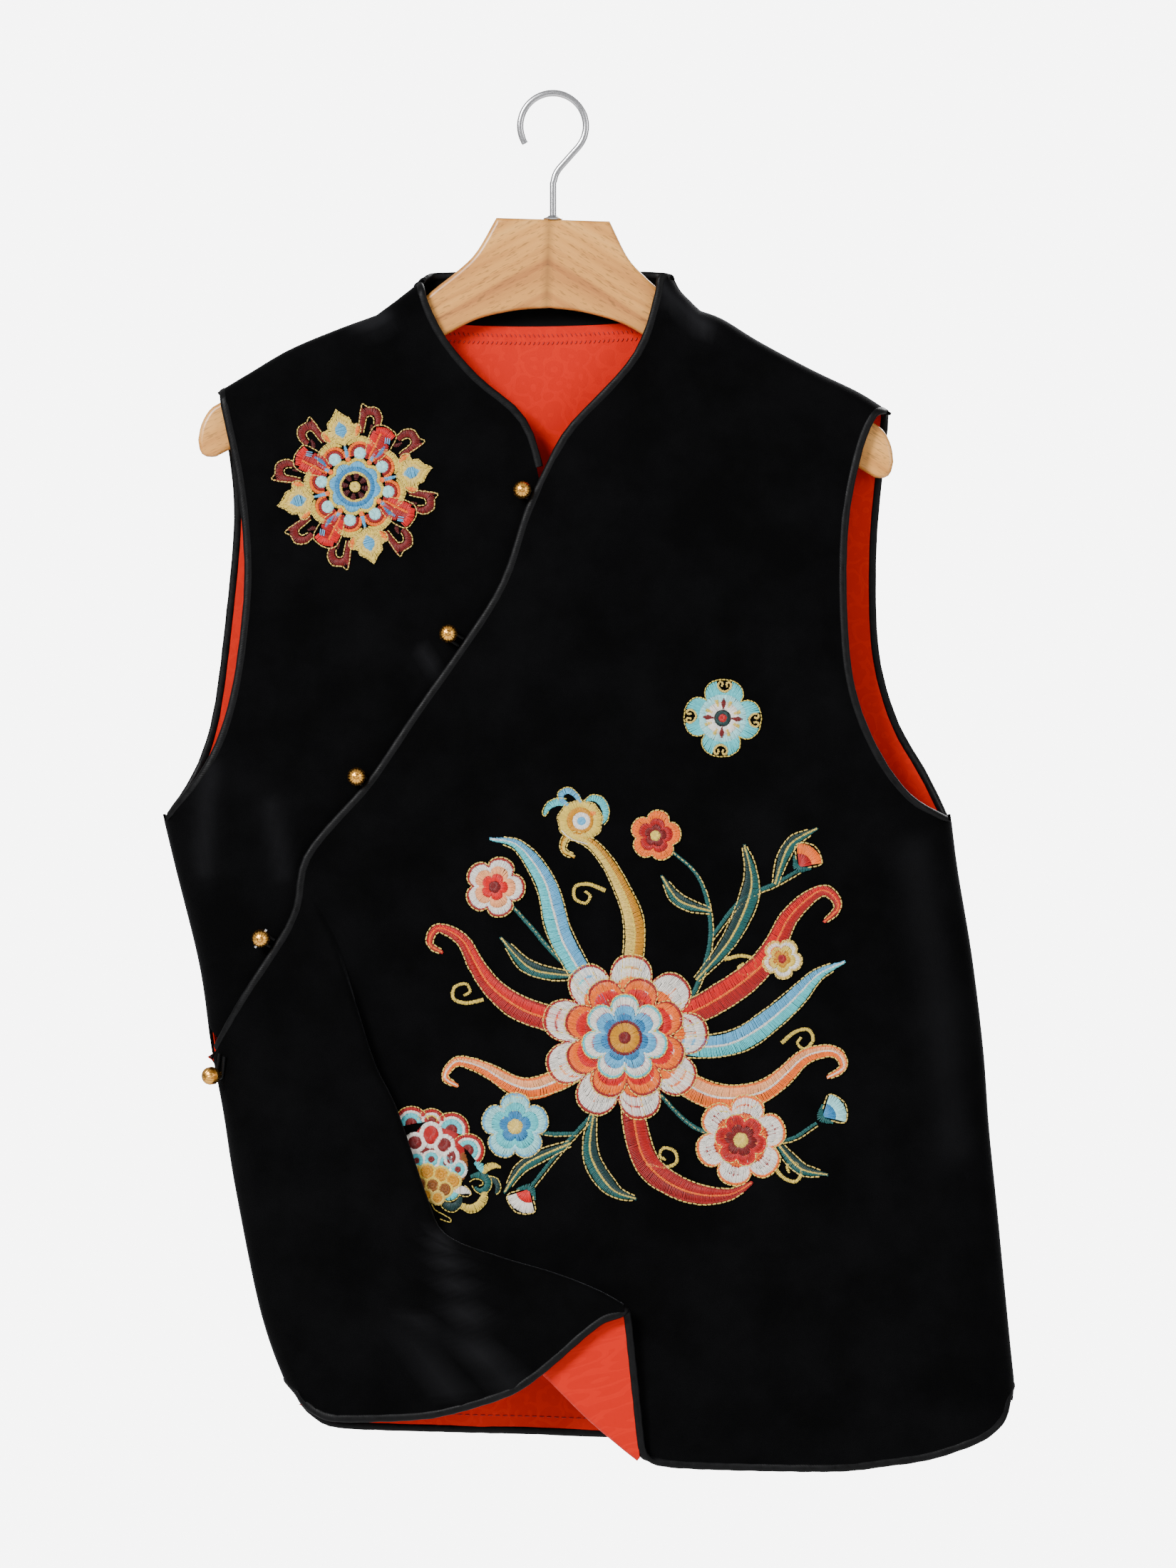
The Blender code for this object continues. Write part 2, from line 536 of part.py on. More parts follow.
def left_front_grids():
    # The upper part from the shoulder to the fold's start, and the part below it that holds the fold.
    start, way, doubled, turn = fold_rows(ROWS_IN_FOLD + 1)
    edge = shifted(join(smooth(LEFT_NECK), SLANT_CURVE), BOUND)
    edge = edge[edge[:, 1] > RIGHT_TOP[0][1]]
    above = edge[edge[:, 1] < FOLD_START]
    below = edge[edge[:, 1] >= FOLD_START]
    start[0] = below[0]
    above = np.vstack([RIGHT_TOP[:1], above, start[:1]])
    profiles = [fold_profile(d, t) for d, t in zip(doubled, turn)]
    under = np.array([a + w * p[-1, 0] for a, w, p in zip(start, way, profiles)])
    under[0] = start[0]

    armhole = trimmed(shifted(smooth(RIGHT_ARMHOLE_FRONT), -BOUND), RIGHT_LINE)
    hem = trimmed(shifted(smooth(RIGHT_HEM), BOUND), RIGHT_LINE, first=False)
    side = between(RIGHT_SIDE_CURVE, armhole[-1], hem[-1])
    high = side[side[:, 1] < SIDE_ABOVE_FOLD]
    outer = join(armhole, high)
    rows = row_fractions(lengths(outer)[-1], lengths(armhole)[-1], 10, 2)
    outer_up = sample(outer, rows)
    left_up = sample(above, rows)
    outer_down = sample(side[len(high) - 1:], np.linspace(0, 1, ROWS_IN_FOLD + 1))
    hem[0] = under[-1]
    hem = sample(hem, WIDE_COLUMNS)
    collar_line = between(smooth(RIGHT_COLLAR), RIGHT_TOP[1], RIGHT_SHOULDER[0])
    shoulder = keyed([np.array(RIGHT_TOP), collar_line], [2, 2])
    seam = between(smooth(RIGHT_SHOULDER), RIGHT_SHOULDER[0], armhole[0])
    shoulder = join(shoulder, sample(seam, SHOULDER_COLUMNS))
    left_all = np.vstack([left_up, under[1:]])
    outer_all = np.vstack([outer_up, outer_down[1:]])
    down = lengths(outer_all)
    right_grid = patch(shoulder, hem, left_all, outer_all, down / down[-1])
    count = len(rows)
    right_up, right_down = right_grid[:count], right_grid[count - 1:]

    slant = sample(below, 1 - (1 - np.linspace(0, 1, ROWS_TO_SIDE + 1)) ** 1.35)
    hem_left = trimmed(shifted(smooth(LEFT_HEM), BOUND), LEFT_LINE, last=False)
    side = between(LEFT_SIDE_CURVE, below[-1] + (-3.1, 4.0), hem_left[0])
    hem_left[-1] = start[-1]
    hem_left = sample(hem_left, LEFT_COLUMNS)
    side = np.vstack([slant[-1:], side])
    left_edge = join(slant, sample(side, np.linspace(0, 1, ROWS_IN_FOLD - ROWS_TO_SIDE + 1)))
    top = np.repeat(start[:1], len(LEFT_COLUMNS), axis=0)
    down = lengths(left_edge)
    left_grid = patch(top, hem_left, left_edge, start, down / down[-1])

    upper = lift(right_up, "front", over=True)
    right = lift(right_down, "front", over=True)
    left = lift(left_grid, "front", over=True)
    fall = np.array([p[-1, 1] for p in profiles])
    top_of_fold = fall - right[:, 0, 1]
    missing = top_of_fold + left[:, -1, 1]
    left[:, :, 1] -= missing[:, None] * step(np.array(LEFT_COLUMNS)) ** 1.3
    band = []
    for row, profile in enumerate(profiles):
        flat = start[row] + way[row] * profile[:, :1]
        band.append(np.stack([flat[:, 0], profile[:, 1] - top_of_fold[row], -flat[:, 1]], axis=1))
    band = np.array(band)
    band[0] = upper[-1, 0]
    left[0] = upper[-1, 0]
    band[:, 0] = left[:, -1]
    band[:, -1] = right[:, 0]
    lower = np.concatenate([left, band[:, 1:], right[:, 1:]], axis=1)
    return upper, lower


def crossings(curve, line):
    # Where the curve crosses the line: (segment of the curve, point), in order.
    found = []
    for i, (a, b) in enumerate(zip(curve, curve[1:])):
        c, d = line[:-1], line[1:]
        ab, cd, ac = b - a, d - c, c - a
        turn = ab[0] * cd[:, 1] - ab[1] * cd[:, 0]
        turn = np.where(np.abs(turn) < 1e-12, 1e-12, turn)
        t = (ac[:, 0] * cd[:, 1] - ac[:, 1] * cd[:, 0]) / turn
        u = (ac[:, 0] * ab[1] - ac[:, 1] * ab[0]) / turn
        for k in np.flatnonzero((t >= 0) & (t < 1) & (u >= 0) & (u < 1)):
            found.append((i, a + t[k] * ab))
    return found


def trimmed(curve, line, first=True, last=True):
    # The curve made longer at its ends and cut where it meets the side line, or led on to it.
    if first:
        curve = trimmed(curve[::-1], line, False, True)[::-1]
    if not last:
        return curve
    longer = np.vstack([curve, unit(curve[-1:] - curve[-2:-1]) * 9 + curve[-1:]])
    found = [cut for cut in crossings(longer, line) if cut[0] > len(curve) / 2]
    if not found:
        return np.vstack([curve, line[((line - longer[-1]) ** 2).sum(1).argmin()][None]])
    segment, point = found[0]
    return np.vstack([longer[:segment + 1], point[None]])


def between(curve, a, b):
    # The part of the curve from point a on it to point b on it.
    i, j = [int(np.argmin(((curve - point) ** 2).sum(1))) for point in (a, b)]
    return np.vstack([[a], curve[i + 1:j], [b]])


def right_front_grid():
    # The lower front: it shows left of the slanting edge, and runs on under it.
    neck = shifted(smooth(RIGHT_NECK), -BOUND)
    neck = neck[neck[:, 1] > LEFT_TOP[1]]
    hidden = shifted(SLANT_CURVE, UNDERLAP)
    hidden = hidden[(hidden[:, 1] > 262) & (hidden[:, 0] > -158)]
    hidden = smooth(sample(hidden, np.linspace(0, 1, 6)))
    inner_edge = join(np.vstack([[LEFT_TOP], neck]), smooth([neck[-1], (-4.0, 232.0), hidden[0]]), hidden)
    armhole = trimmed(shifted(smooth(LEFT_ARMHOLE_FRONT), BOUND), LEFT_LINE)
    side = between(LEFT_SIDE_CURVE, armhole[-1], (-188.5, 592.0))
    tuck = TUCKED_IN * step((side[:, 1] - 533) / 15)
    side = side + np.stack([tuck, np.zeros_like(tuck)], axis=1)
    outer = join(armhole, side)
    rows = row_fractions(lengths(outer)[-1], lengths(armhole)[-1], 9, 8)
    outer = sample(outer, rows)
    inner_edge = sample(inner_edge, rows)
    collar = between(smooth(LEFT_COLLAR)[::-1], LEFT_SHOULDER[0], LEFT_TOP)
    seam = between(smooth(LEFT_SHOULDER)[::-1], armhole[0], LEFT_SHOULDER[0])
    top = keyed([seam, collar], [5, 2])
    top = join(sample(top[:2], (0, 0.08, 0.35, 1)), top[1:])
    bottom = sample(np.array([outer[-1], inner_edge[-1]]), RIGHT_COLUMNS)
    down = lengths(outer)
    return lift(patch(top, bottom, outer, inner_edge, down / down[-1]), "front"), 11


def back_grid():
    hem = shifted(smooth(BACK_HEM), BOUND)
    hem = trimmed(trimmed(hem, LEFT_LINE, last=False), RIGHT_LINE, first=False)
    sides, seams = [], []
    for armhole, shoulder, line, side, sign, end in (
        (LEFT_ARMHOLE_BACK, LEFT_SHOULDER, LEFT_LINE, LEFT_SIDE_CURVE, 1, hem[0]),
        (RIGHT_ARMHOLE_BACK, RIGHT_SHOULDER, RIGHT_LINE, RIGHT_SIDE_CURVE, -1, hem[-1]),
    ):
        edge = trimmed(shifted(smooth(armhole), sign * BOUND), line)
        outer = join(edge, between(side, edge[-1], end))
        sides.append(sample(outer, row_fractions(lengths(outer)[-1], lengths(edge)[-1], 9, 10)))
        seams.append(sample(between(smooth(shoulder), shoulder[0], edge[0]), (0, 0.3, 0.6, 0.88, 0.97, 1)))
    hem = sample(hem, BACK_COLUMNS)
    top = join(seams[0][::-1], sample(smooth(BACK_NECK), NECK_COLUMNS), seams[1])
    down = lengths(sides[0])
    return lift(patch(top, hem, sides[0], sides[1], down / down[-1]), "back"), 11


def collar_grid():
    rows = np.linspace(0, 1, 4)
    top = sample(smooth(COLLAR_EDGE), NECK_COLUMNS)
    neck = sample(smooth(BACK_NECK), NECK_COLUMNS) - (0, 2 * GAP)
    neck[0], neck[-1] = COLLAR_ENDS
    left = sample(between(smooth(LEFT_COLLAR), top[0], neck[0]), rows)
    right = sample(between(smooth(RIGHT_COLLAR), top[-1], neck[-1]), rows)
    return lift(patch(top, neck, left, right, rows), "back")


def lengthened(edge, inner, run):
    # The edge with one more point before its first, this much further on.
    more = unit((edge[:1] - edge[1:2])) * run
    return np.vstack([edge[:1] + more, edge]), np.vstack([inner[:1] + more, inner])


def make_cloth():
    upper, lower = left_front_grids()
    front = sheet_of([upper, lower], "front", over=True)
    wall("left_front", front, 0, VELVET, "velvet", "front")
    wall("left_front_lining", front, VELVET + GAP, STACK, "lining", "front")
    edge = np.vstack([upper[:, 0], lower[1:ROWS_TO_SIDE + 1, 0]])
    inner = np.vstack([upper[:, 1], lower[1:ROWS_TO_SIDE + 1, 1]])
    binding("front_edge_binding", *lengthened(edge, inner, 4), front, "front")
    hem_binding(lower, front)
    binding("left_armhole_binding_front", upper[:12, -1], upper[:12, -2], front, "front")

    grid, underarm = right_front_grid()
    sheet = sheet_of([grid], "front")
    wall("right_front", sheet, 0, VELVET, "velvet", "front")
    wall("right_front_lining", sheet, VELVET + GAP, STACK, "lining", "front")
    neck = grid[grid[:, -1, 2] > -CROSSING]
    binding("right_neck_binding", *lengthened(neck[:, -1], neck[:, -2], 4), sheet, "front")
    binding("right_armhole_binding_front", grid[:underarm, 0], grid[:underarm, 1], sheet, "front")

    grid, underarm = back_grid()
    sheet = sheet_of([grid], "back")
    wall("back", sheet, 0, VELVET, "velvet", "back")
    wall("back_lining", sheet, VELVET + GAP, STACK, "lining", "back")
    binding("back_hem_binding", grid[-1], grid[-2], sheet, "back")
    binding("right_armhole_binding_back", grid[:underarm, 0], grid[:underarm, 1], sheet, "back")
    binding("left_armhole_binding_back", grid[:underarm, -1], grid[:underarm, -2], sheet, "back")

    grid = collar_grid()
    sheet = sheet_of([grid], "back")
    wall("collar", sheet, 0, COLLAR_WALL, "velvet", "back")
    binding("collar_binding", grid[0, 1:-1], grid[1, 1:-1], sheet, "back", COLLAR_WALL)


def lathe(name, profile, base, axis, finish, steps=12):
    # A closed turned body: its profile is (radius, height) from the base along the axis, pole to pole.
    axis = axis / np.linalg.norm(axis)
    side = np.cross(axis, (0.0, 0.3, 1.0))
    side /= np.linalg.norm(side)
    other = np.cross(axis, side)
    points, rings = [], []
    for radius, height in profile:
        if radius == 0:
            rings.append([len(points)])
            points.append(base + axis * height)
            continue
        rings.append(list(range(len(points), len(points) + steps)))
        for k in range(steps):
            turn = 2 * math.pi * k / steps
            points.append(base + axis * height + radius * (side * math.cos(turn) + other * math.sin(turn)))
    faces = []
    for low, high in zip(rings, rings[1:]):
        for k in range(steps):
            n = (k + 1) % steps
            around = [low[k % len(low)], low[n % len(low)], high[n % len(high)], high[k % len(high)]]
            faces.append([p for i, p in enumerate(around) if p != around[i - 1]])
    return add_object(name, np.array(points), faces, finish)


def seat_on(name, x, drop):
    # Where a line from the viewer at (x, drop) first meets this wall, and the wall's direction there.
    obj = bpy.data.objects[name]
    _, point, normal, _ = obj.ray_cast(Vector((x, -300, -drop)) * MM, Vector((0, 1, 0)))
    return np.array(point) / MM, np.array(normal)


def make_buttons():
    for number, (x, drop, way, reach) in enumerate(BUTTONS, 1):
        panel = "left_front" if number == len(BUTTONS) else "right_front"
        seat, out = seat_on(panel, x, drop)
        radius = BALL / 2
        start = math.asin(SHANK / BALL)
        arc = np.linspace(math.pi - start, 0, 7)
        ball = [(radius * math.sin(q), SHANK_LENGTH + radius + radius * math.cos(q)) for q in arc[:-1]]
        profile = [(0, GAP), (SHANK / 2, GAP)] + ball + [(0, SHANK_LENGTH + 2 * radius)]
        lathe(f"button_{number}", profile, seat, out, "gold")
        make_loop(f"loop_{number}", seat, out, math.radians(way), reach)


def make_loop(name, seat, out, way, reach):
    # A cord loop round the shank, under the ball, with both legs running to the bound edge.
    along = np.array([math.cos(way), 0, math.sin(way)])
    along -= out * (along @ out)
    along /= np.linalg.norm(along)
    across = np.cross(out, along)
    radius = (SHANK + LOOP_WIRE) / 2 + GAP
    turns = np.linspace(-math.pi / 2, -3 * math.pi / 2, 7)
    bend = [along * radius * math.cos(q) + across * radius * math.sin(q) for q in turns]
    legs = [along * reach - across * radius] + bend + [along * reach + across * radius]
    centre = seat + out * (GAP + LOOP_WIRE / 2) + np.array(legs)
    run = unit(np.gradient(centre, axis=0))
    wide = unit(np.cross(run, out))
    high = np.repeat(out[None], len(centre), axis=0)
    sweep(name, centre, wide, high, LOOP_WIRE / 2, LOOP_WIRE / 2, "binding")


def make_hanger():
    half = smooth(HEAD_EDGE + ARM_TOP + ARM_TIP + ARM_UNDER, 2)
    ring = np.vstack([half[:-1], half[::-1] * (-1, 1)])
    closed = np.vstack([ring[-1:], ring, ring[:1]])
    run = np.gradient(closed, axis=0)[1:-1]
    run /= np.linalg.norm(run, axis=1)[:, None]
    inward = np.stack([-run[:, 1], run[:, 0]], axis=1)
    half_thick = HANGER_THICK / 2
    edge_y = half_thick - EDGE_ROUND
    points = []
    for inset, y in ((EDGE_ROUND, -half_thick), (0, -edge_y), (0, edge_y), (EDGE_ROUND, half_thick)):
        for x, z in ring + inward * inset:
            points.append((x, y, -z))
    points = np.array(points)
    c, s = math.cos(HANGER_TILT), math.sin(HANGER_TILT)
    x, z = points[:, 0].copy(), points[:, 2].copy()
    points[:, 0] = x * c + z * s
    points[:, 2] = -x * s + z * c - HEAD_DROP
    count = len(ring)
    faces = [list(range(count)), list(range(3 * count, 4 * count))[::-1]]
    for layer in range(3):
        for k in range(count):
            n = (k + 1) % count
            low, high = layer * count, (layer + 1) * count
            faces.append([low + k, low + n, high + n, high + k])
    add_object("hanger", points, faces, "beech")


def make_hook():
    radius = (HOOK_INSIDE + HOOK_WIRE) / 2
    middle = np.array([0, -HOOK_INSIDE / 2])
    turns = np.radians(np.linspace(-40, 212, 19))
    arc = [middle + radius * np.array([math.cos(q), math.sin(q)]) for q in turns]
    stem = [(0, -HEAD_DROP + GAP), (0, -60), (0, -50), (2.2, -43.4), (8.0, -36.4)]
    path = np.array(stem + arc)
    run = unit(np.gradient(path, axis=0))
    centre = np.stack([path[:, 0], np.zeros(len(path)), path[:, 1]], axis=1)
    wide = np.stack([run[:, 1], np.zeros(len(path)), -run[:, 0]], axis=1)
    wide[0] = (1, 0, 0)
    high = np.tile((0.0, 1.0, 0.0), (len(path), 1))
    sweep("hook", centre, wide, high, HOOK_WIRE / 2, HOOK_WIRE / 2, "steel", ring=10)


def clear_scene():
    for obj in list(bpy.data.objects):
        bpy.data.objects.remove(obj, do_unlink=True)


clear_scene()
make_cloth()
make_buttons()
make_hanger()
make_hook()
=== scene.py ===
import math

import bmesh
import bpy
import numpy as np
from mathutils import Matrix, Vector


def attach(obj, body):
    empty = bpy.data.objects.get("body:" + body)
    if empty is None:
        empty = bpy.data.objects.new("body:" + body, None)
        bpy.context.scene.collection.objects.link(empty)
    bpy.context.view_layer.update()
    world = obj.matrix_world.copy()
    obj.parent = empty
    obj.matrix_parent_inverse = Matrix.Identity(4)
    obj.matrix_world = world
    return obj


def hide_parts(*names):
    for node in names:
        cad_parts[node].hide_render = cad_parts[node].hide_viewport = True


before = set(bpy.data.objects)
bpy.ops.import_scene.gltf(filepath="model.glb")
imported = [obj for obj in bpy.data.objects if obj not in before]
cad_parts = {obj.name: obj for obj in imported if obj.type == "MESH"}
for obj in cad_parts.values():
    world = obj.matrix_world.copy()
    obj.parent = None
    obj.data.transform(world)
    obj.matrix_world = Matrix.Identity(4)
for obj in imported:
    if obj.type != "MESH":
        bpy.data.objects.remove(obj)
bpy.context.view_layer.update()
mm = 0.001


# ---- curves and panels, by the same rules as the solids

cloth = {
    "velvet": 1.2, "lining": 1.0, "gap": 0.3, "collarWall": 2.0,
    "bindingWidth": 3.6, "bindingHeight": 3.4, "wrap": 1.3, "pucker": 0.035,
    "underlap": 42.0, "overlapLift": 4.9, "shoulderDepth": 11.2, "frontDepth": 22.0, "backDepth": 17.0,
    "shoulderRound": 8.5, "armholeRound": 14.0, "sideRound": 34.0, "onSeam": 0.2,
    # where a measure starts to change, and over how much it does
    "armholeFrom": (180, 40), "sideFrom": (240, 170), "depthFrom": (150, 260),
    "overlapFrom": (190, 30), "overlapTo": (596, 30), "overlapFade": (6, 30),
}
cloth["stack"] = cloth["velvet"] + cloth["gap"] + cloth["lining"]
cloth["bound"] = cloth["bindingWidth"] + cloth["gap"]

# Finished edges as (x, drop); left and right are as seen from the front
edges = {
    "leftCollar": [(-74.6, 104.5), (-79.2, 108.7), (-88.4, 116.0), (-101.7, 125.8)],
    "leftShoulder": [(-101.7, 125.8), (-124.2, 134.0), (-151.3, 145.4), (-173.8, 158.6), (-192.7, 170.0)],
    "rightCollar": [(68.0, 102.5), (72.4, 110.9), (78.4, 117.2), (84.9, 123.3)],
    "rightShoulder": [(84.9, 123.3), (97.5, 128.0), (118.5, 140.9), (149.2, 157.3), (176.0, 170.2), (194.3, 181.9)],
    "leftSide": [
        (-224.7, 412.8), (-217.3, 443.5), (-203.4, 500.1), (-196.8, 546.0), (-189.8, 584.1),
        (-183.7, 623.1), (-171.8, 684.2), (-164.0, 713.7), (-155.0, 737.5), (-150.5, 746.0),
    ],
    "rightSide": [
        (228.8, 412.8), (232.9, 445.2), (241.1, 494.8), (247.6, 548.9), (250.9, 594.0),
        (255.5, 639.5), (259.4, 680.0), (263.6, 722.7), (265.3, 740.0), (264.6, 750.0),
    ],
    "leftArm": [(-192.7, 170.0), (-205.0, 184.0), (-212.0, 230.0), (-216.0, 300.0), (-221.0, 370.0), (-224.7, 412.8)],
    "rightArm": [(194.3, 181.9), (203.0, 196.0), (208.0, 240.0), (213.0, 300.0), (221.0, 370.0), (228.8, 412.8)],
    "leftArmholeFront": [
        (-192.7, 170.0), (-189.0, 187.7), (-181.2, 225.0), (-177.1, 274.6), (-181.2, 322.6),
        (-186.6, 351.3), (-195.2, 375.9), (-209.5, 397.2), (-224.7, 412.8),
    ],
    "leftArmholeBack": [
        (-192.7, 170.0), (-187.4, 203.7), (-184.1, 241.0), (-189.0, 298.0), (-197.2, 358.2),
        (-209.5, 391.9), (-224.7, 412.8),
    ],
    "rightArmholeFront": [
        (194.3, 181.9), (184.4, 186.5), (175.9, 211.5), (169.7, 247.1), (168.9, 295.9), (173.4, 341.0),
        (188.2, 378.3), (207.9, 404.0), (228.8, 412.8),
    ],
    "rightArmholeBack": [
        (194.3, 181.9), (189.8, 221.3), (186.6, 263.1), (188.2, 320.1), (199.7, 360.7), (215.0, 386.0), (
            228.8, 412.8,
        ),
    ],
    "underNeck": [
        (-74.9, 104.5), (-71.8, 118.0), (-61.9, 138.9), (-39.0, 165.1), (-24.2, 174.6), (-12.5, 187.5), (-6.6, 208.2),
    ],
    "overNeck": [(60.2, 101.0), (57.4, 116.7), (48.4, 145.4), (26.7, 170.9), (5.7, 191.8), (-4.1, 212.3)],
    "slant": [
        (-4.1, 212.3), (-17.2, 238.9), (-29.5, 278.3), (-52.1, 314.4), (-80.4, 354.5), (-105.4, 391.9),
        (-128.3, 417.3), (-144.7, 437.8), (-147.0, 452.0), (-150.4, 471.5), (-179.2, 516.9), (-196.6, 546.0),
    ],
    "collarTop": [(-77.0, 106.6), (-65.6, 104.4), (0.0, 103.4), (60.0, 104.1), (69.4, 105.4)],
    "backNeck": [(-101.7, 125.8), (-60.0, 130.6), (-8.0, 132.0), (45.0, 129.6), (84.9, 123.3)],
    "leftHem": [
        (-150.5, 746.0), (-146.0, 751.8), (-136.5, 757.6), (-124.6, 761.3), (-77.5, 760.0), (-53.7, 755.5),
        (-20.5, 744.0), (3.3, 725.6), (18.9, 711.7), (32.8, 701.0), (43.0, 696.0),
    ],
    "rightHem": [
        (51.5, 782.0), (59.5, 786.6), (99.2, 789.1), (162.4, 789.6), (188.6, 787.0), (216.1, 783.0),
        (241.9, 774.4), (253.4, 767.8), (261.6, 758.4), (264.6, 750.0),
    ],
    "backHem": [
        (-150.5, 746.0), (-145.0, 756.0), (-134.0, 764.5), (-120.0, 768.2), (-26.2, 770.5), (42.6, 773.2),
        (160.0, 776.4), (215.0, 775.0), (245.0, 769.0), (259.0, 760.0), (264.6, 750.0),
    ],
}
topCorners = {"left": (-79.2, 108.7), "right": [(64.0, 105.4), (69.8, 106.2)], "crossing": 216.0}

# The fold in the front: outer edge (x, drop), the way it points in degrees above +x, cloth doubled under it
fold = {
    "start": 452.0, "outerTurn": 4.4, "innerTurn": 1.2, "rise": 4.4, "turnSteps": 8,
    "rows": [
        (-143.0, 452.0, 25, 0.0), (-125.5, 486.0, 25, 2.5), (-113.0, 520.0, 25, 4.4), (-101.7, 555.0, 25, 5.0),
        (-89.0, 581.3, 26, 5.5), (-72.2, 630.1, 30, 7.0), (-61.1, 652.6, 40, 12.0), (-31.2, 664.9, 66, 30.0),
        (2.0, 675.0, 80, 50.0), (26.0, 684.5, 90, 72.0), (40.5, 692.5, 96, 84.0),
    ],
    # the hem binding's way round the folded corner, and the way its height points there
    "corner": [(52.3, -25.0, -781.4), (55.0, -23.2, -782.0), (58.4, -21.4, -783.0)],
    "cornerHigh": [(0.3, 0.9, 0.2), (0.6, 0.0, 0.8), (0.3, -0.9, 0.3)],
    "cornerSkip": 3, "hemSteps": 420, "hemRounds": 16,
}

# Where the velvet's colour is painted lighter: painted sheen along creases and at the neck and shoulder kinks, and a
# real rub mark below the second button: side, line, half width, strength
rubsAndSheens = [
    ("front", [(-75.0, 322.0), (-72.2, 326.0), (-69.0, 331.0)], 4.0, 0.3),
    ("front", [(-114.0, 129.5), (-106.0, 130.5), (-98.0, 127.0)], 5.0, 0.45),
    ("front", [(79.0, 121.0), (82.0, 127.0), (87.0, 132.0)], 5.0, 0.45),
    ("front", [(61.5, 107.5), (68.0, 115.0), (78.0, 124.0)], 4.0, 0.35),
    ("front", [(-64.0, 655.0), (-50.0, 698.9), (-37.0, 731.0), (-26.0, 741.0)], 6.0, 0.3),
    ("front", [(-80.0, 704.0), (-71.0, 722.0), (-59.0, 744.0)], 6.0, 0.22),
    ("front", [(-196.4, 388.0), (-199.0, 416.0), (-200.0, 444.0)], 6.5, 0.2),
    ("front", [(-161.5, 409.0), (-158.0, 426.0), (-155.0, 446.0)], 6.0, 0.16),
    ("front", [(208.0, 436.0), (221.0, 520.0), (229.0, 600.0)], 11.0, 0.14),
    ("back", [(-120.0, 470.0), (-126.0, 590.0), (-112.0, 700.0)], 14.0, 0.12),
    ("back", [(62.0, 500.0), (71.0, 620.0), (67.0, 730.0)], 14.0, 0.12),
    ("back", [(-92.0, 134.0), (-30.0, 138.5), (74.0, 132.0)], 7.0, 0.2),
]
# Soft folds and creases: side, start, middle, end, half width, height
creases = [
    ("front", (-60.7, 657.9), (-47.2, 698.9), (-23.0, 741.0), 9.0, 3.2),
    ("front", (-83.0, 690.0), (-76.0, 715.0), (-59.0, 748.0), 9.0, 2.4),
    ("front", (-193.0, 396.0), (-200.0, 455.0), (-199.0, 520.0), 8.0, 3.0),
    ("front", (-160.0, 400.0), (-150.0, 430.0), (-146.0, 470.0), 10.0, 1.6),
    ("front", (205.0, 430.0), (222.0, 520.0), (230.0, 610.0), 16.0, -2.2),
    ("front", (150.0, 640.0), (164.0, 710.0), (160.0, 788.0), 24.0, 2.4),
    ("front", (95.0, 560.0), (90.0, 680.0), (100.0, 788.0), 26.0, -2.0),
    ("back", (-120.0, 440.0), (-128.0, 590.0), (-108.0, 770.0), 26.0, 3.0),
    ("back", (-40.0, 520.0), (-34.0, 640.0), (-44.0, 770.0), 22.0, -2.6),
    ("back", (60.0, 470.0), (72.0, 620.0), (66.0, 774.0), 28.0, 3.4),
    ("back", (168.0, 500.0), (160.0, 620.0), (176.0, 775.0), 20.0, -2.6),
    ("back", (-10.0, 170.0), (0.0, 235.0), (12.0, 300.0), 26.0, -1.6),
    # the solids have those above, and not the finer ones below
    ("front", (-118.0, 128.0), (-108.0, 133.0), (-92.0, 131.0), 5.0, 1.1),
    ("front", (82.0, 128.0), (90.0, 137.0), (104.0, 146.0), 5.5, 1.2),
    ("front", (-166.0, 387.0), (-157.0, 420.0), (-150.0, 447.0), 4.5, 0.7),
    ("front", (-180.0, 437.0), (-172.0, 458.0), (-165.0, 480.0), 5.0, 0.8),
    ("front", (-120.0, 610.0), (-104.0, 668.0), (-92.0, 742.0), 12.0, -1.3),
    ("front", (-150.0, 600.0), (-141.0, 668.0), (-132.0, 735.0), 9.0, 1.2),
    ("front", (-30.0, 688.0), (-18.0, 706.0), (2.0, 718.0), 6.0, 1.0),
    ("front", (196.0, 205.0), (160.0, 236.0), (120.0, 258.0), 12.0, 1.1),
    ("front", (60.0, 150.0), (98.0, 210.0), (120.0, 300.0), 16.0, -1.2),
    ("front", (-168.0, 190.0), (-150.0, 246.0), (-148.0, 330.0), 13.0, 1.0),
    ("front", (226.0, 640.0), (233.0, 700.0), (240.0, 748.0), 9.0, 1.3),
    ("front", (20.0, 520.0), (10.0, 580.0), (18.0, 650.0), 20.0, 0.9),
    ("back", (-168.0, 200.0), (-130.0, 262.0), (-96.0, 300.0), 14.0, 1.4),
    ("back", (165.0, 205.0), (128.0, 262.0), (100.0, 310.0), 13.0, 1.5),
    ("back", (-180.0, 420.0), (-150.0, 470.0), (-120.0, 500.0), 10.0, 1.2),
    ("back", (205.0, 430.0), (170.0, 470.0), (140.0, 520.0), 11.0, -1.2),
    ("back", (-150.0, 640.0), (-140.0, 700.0), (-130.0, 762.0), 10.0, 1.4),
    ("back", (224.0, 600.0), (231.0, 680.0), (236.0, 755.0), 10.0, 1.3),
]


def smooth(points, steps=10):
    p = np.array(points, float)
    p = np.vstack([2 * p[0] - p[1], p, 2 * p[-1] - p[-2]])
    t = np.linspace(0, 1, steps, endpoint=False)[:, None]
    spans = []
    for a, b, c, d in zip(p, p[1:], p[2:], p[3:]):
        spans.append(0.5 * (2 * b + (c - a) * t + (2 * a - 5 * b + 4 * c - d) * t**2 + (3 * b - a - 3 * c + d) * t**3))
    return np.vstack(spans + [p[-2][None]])


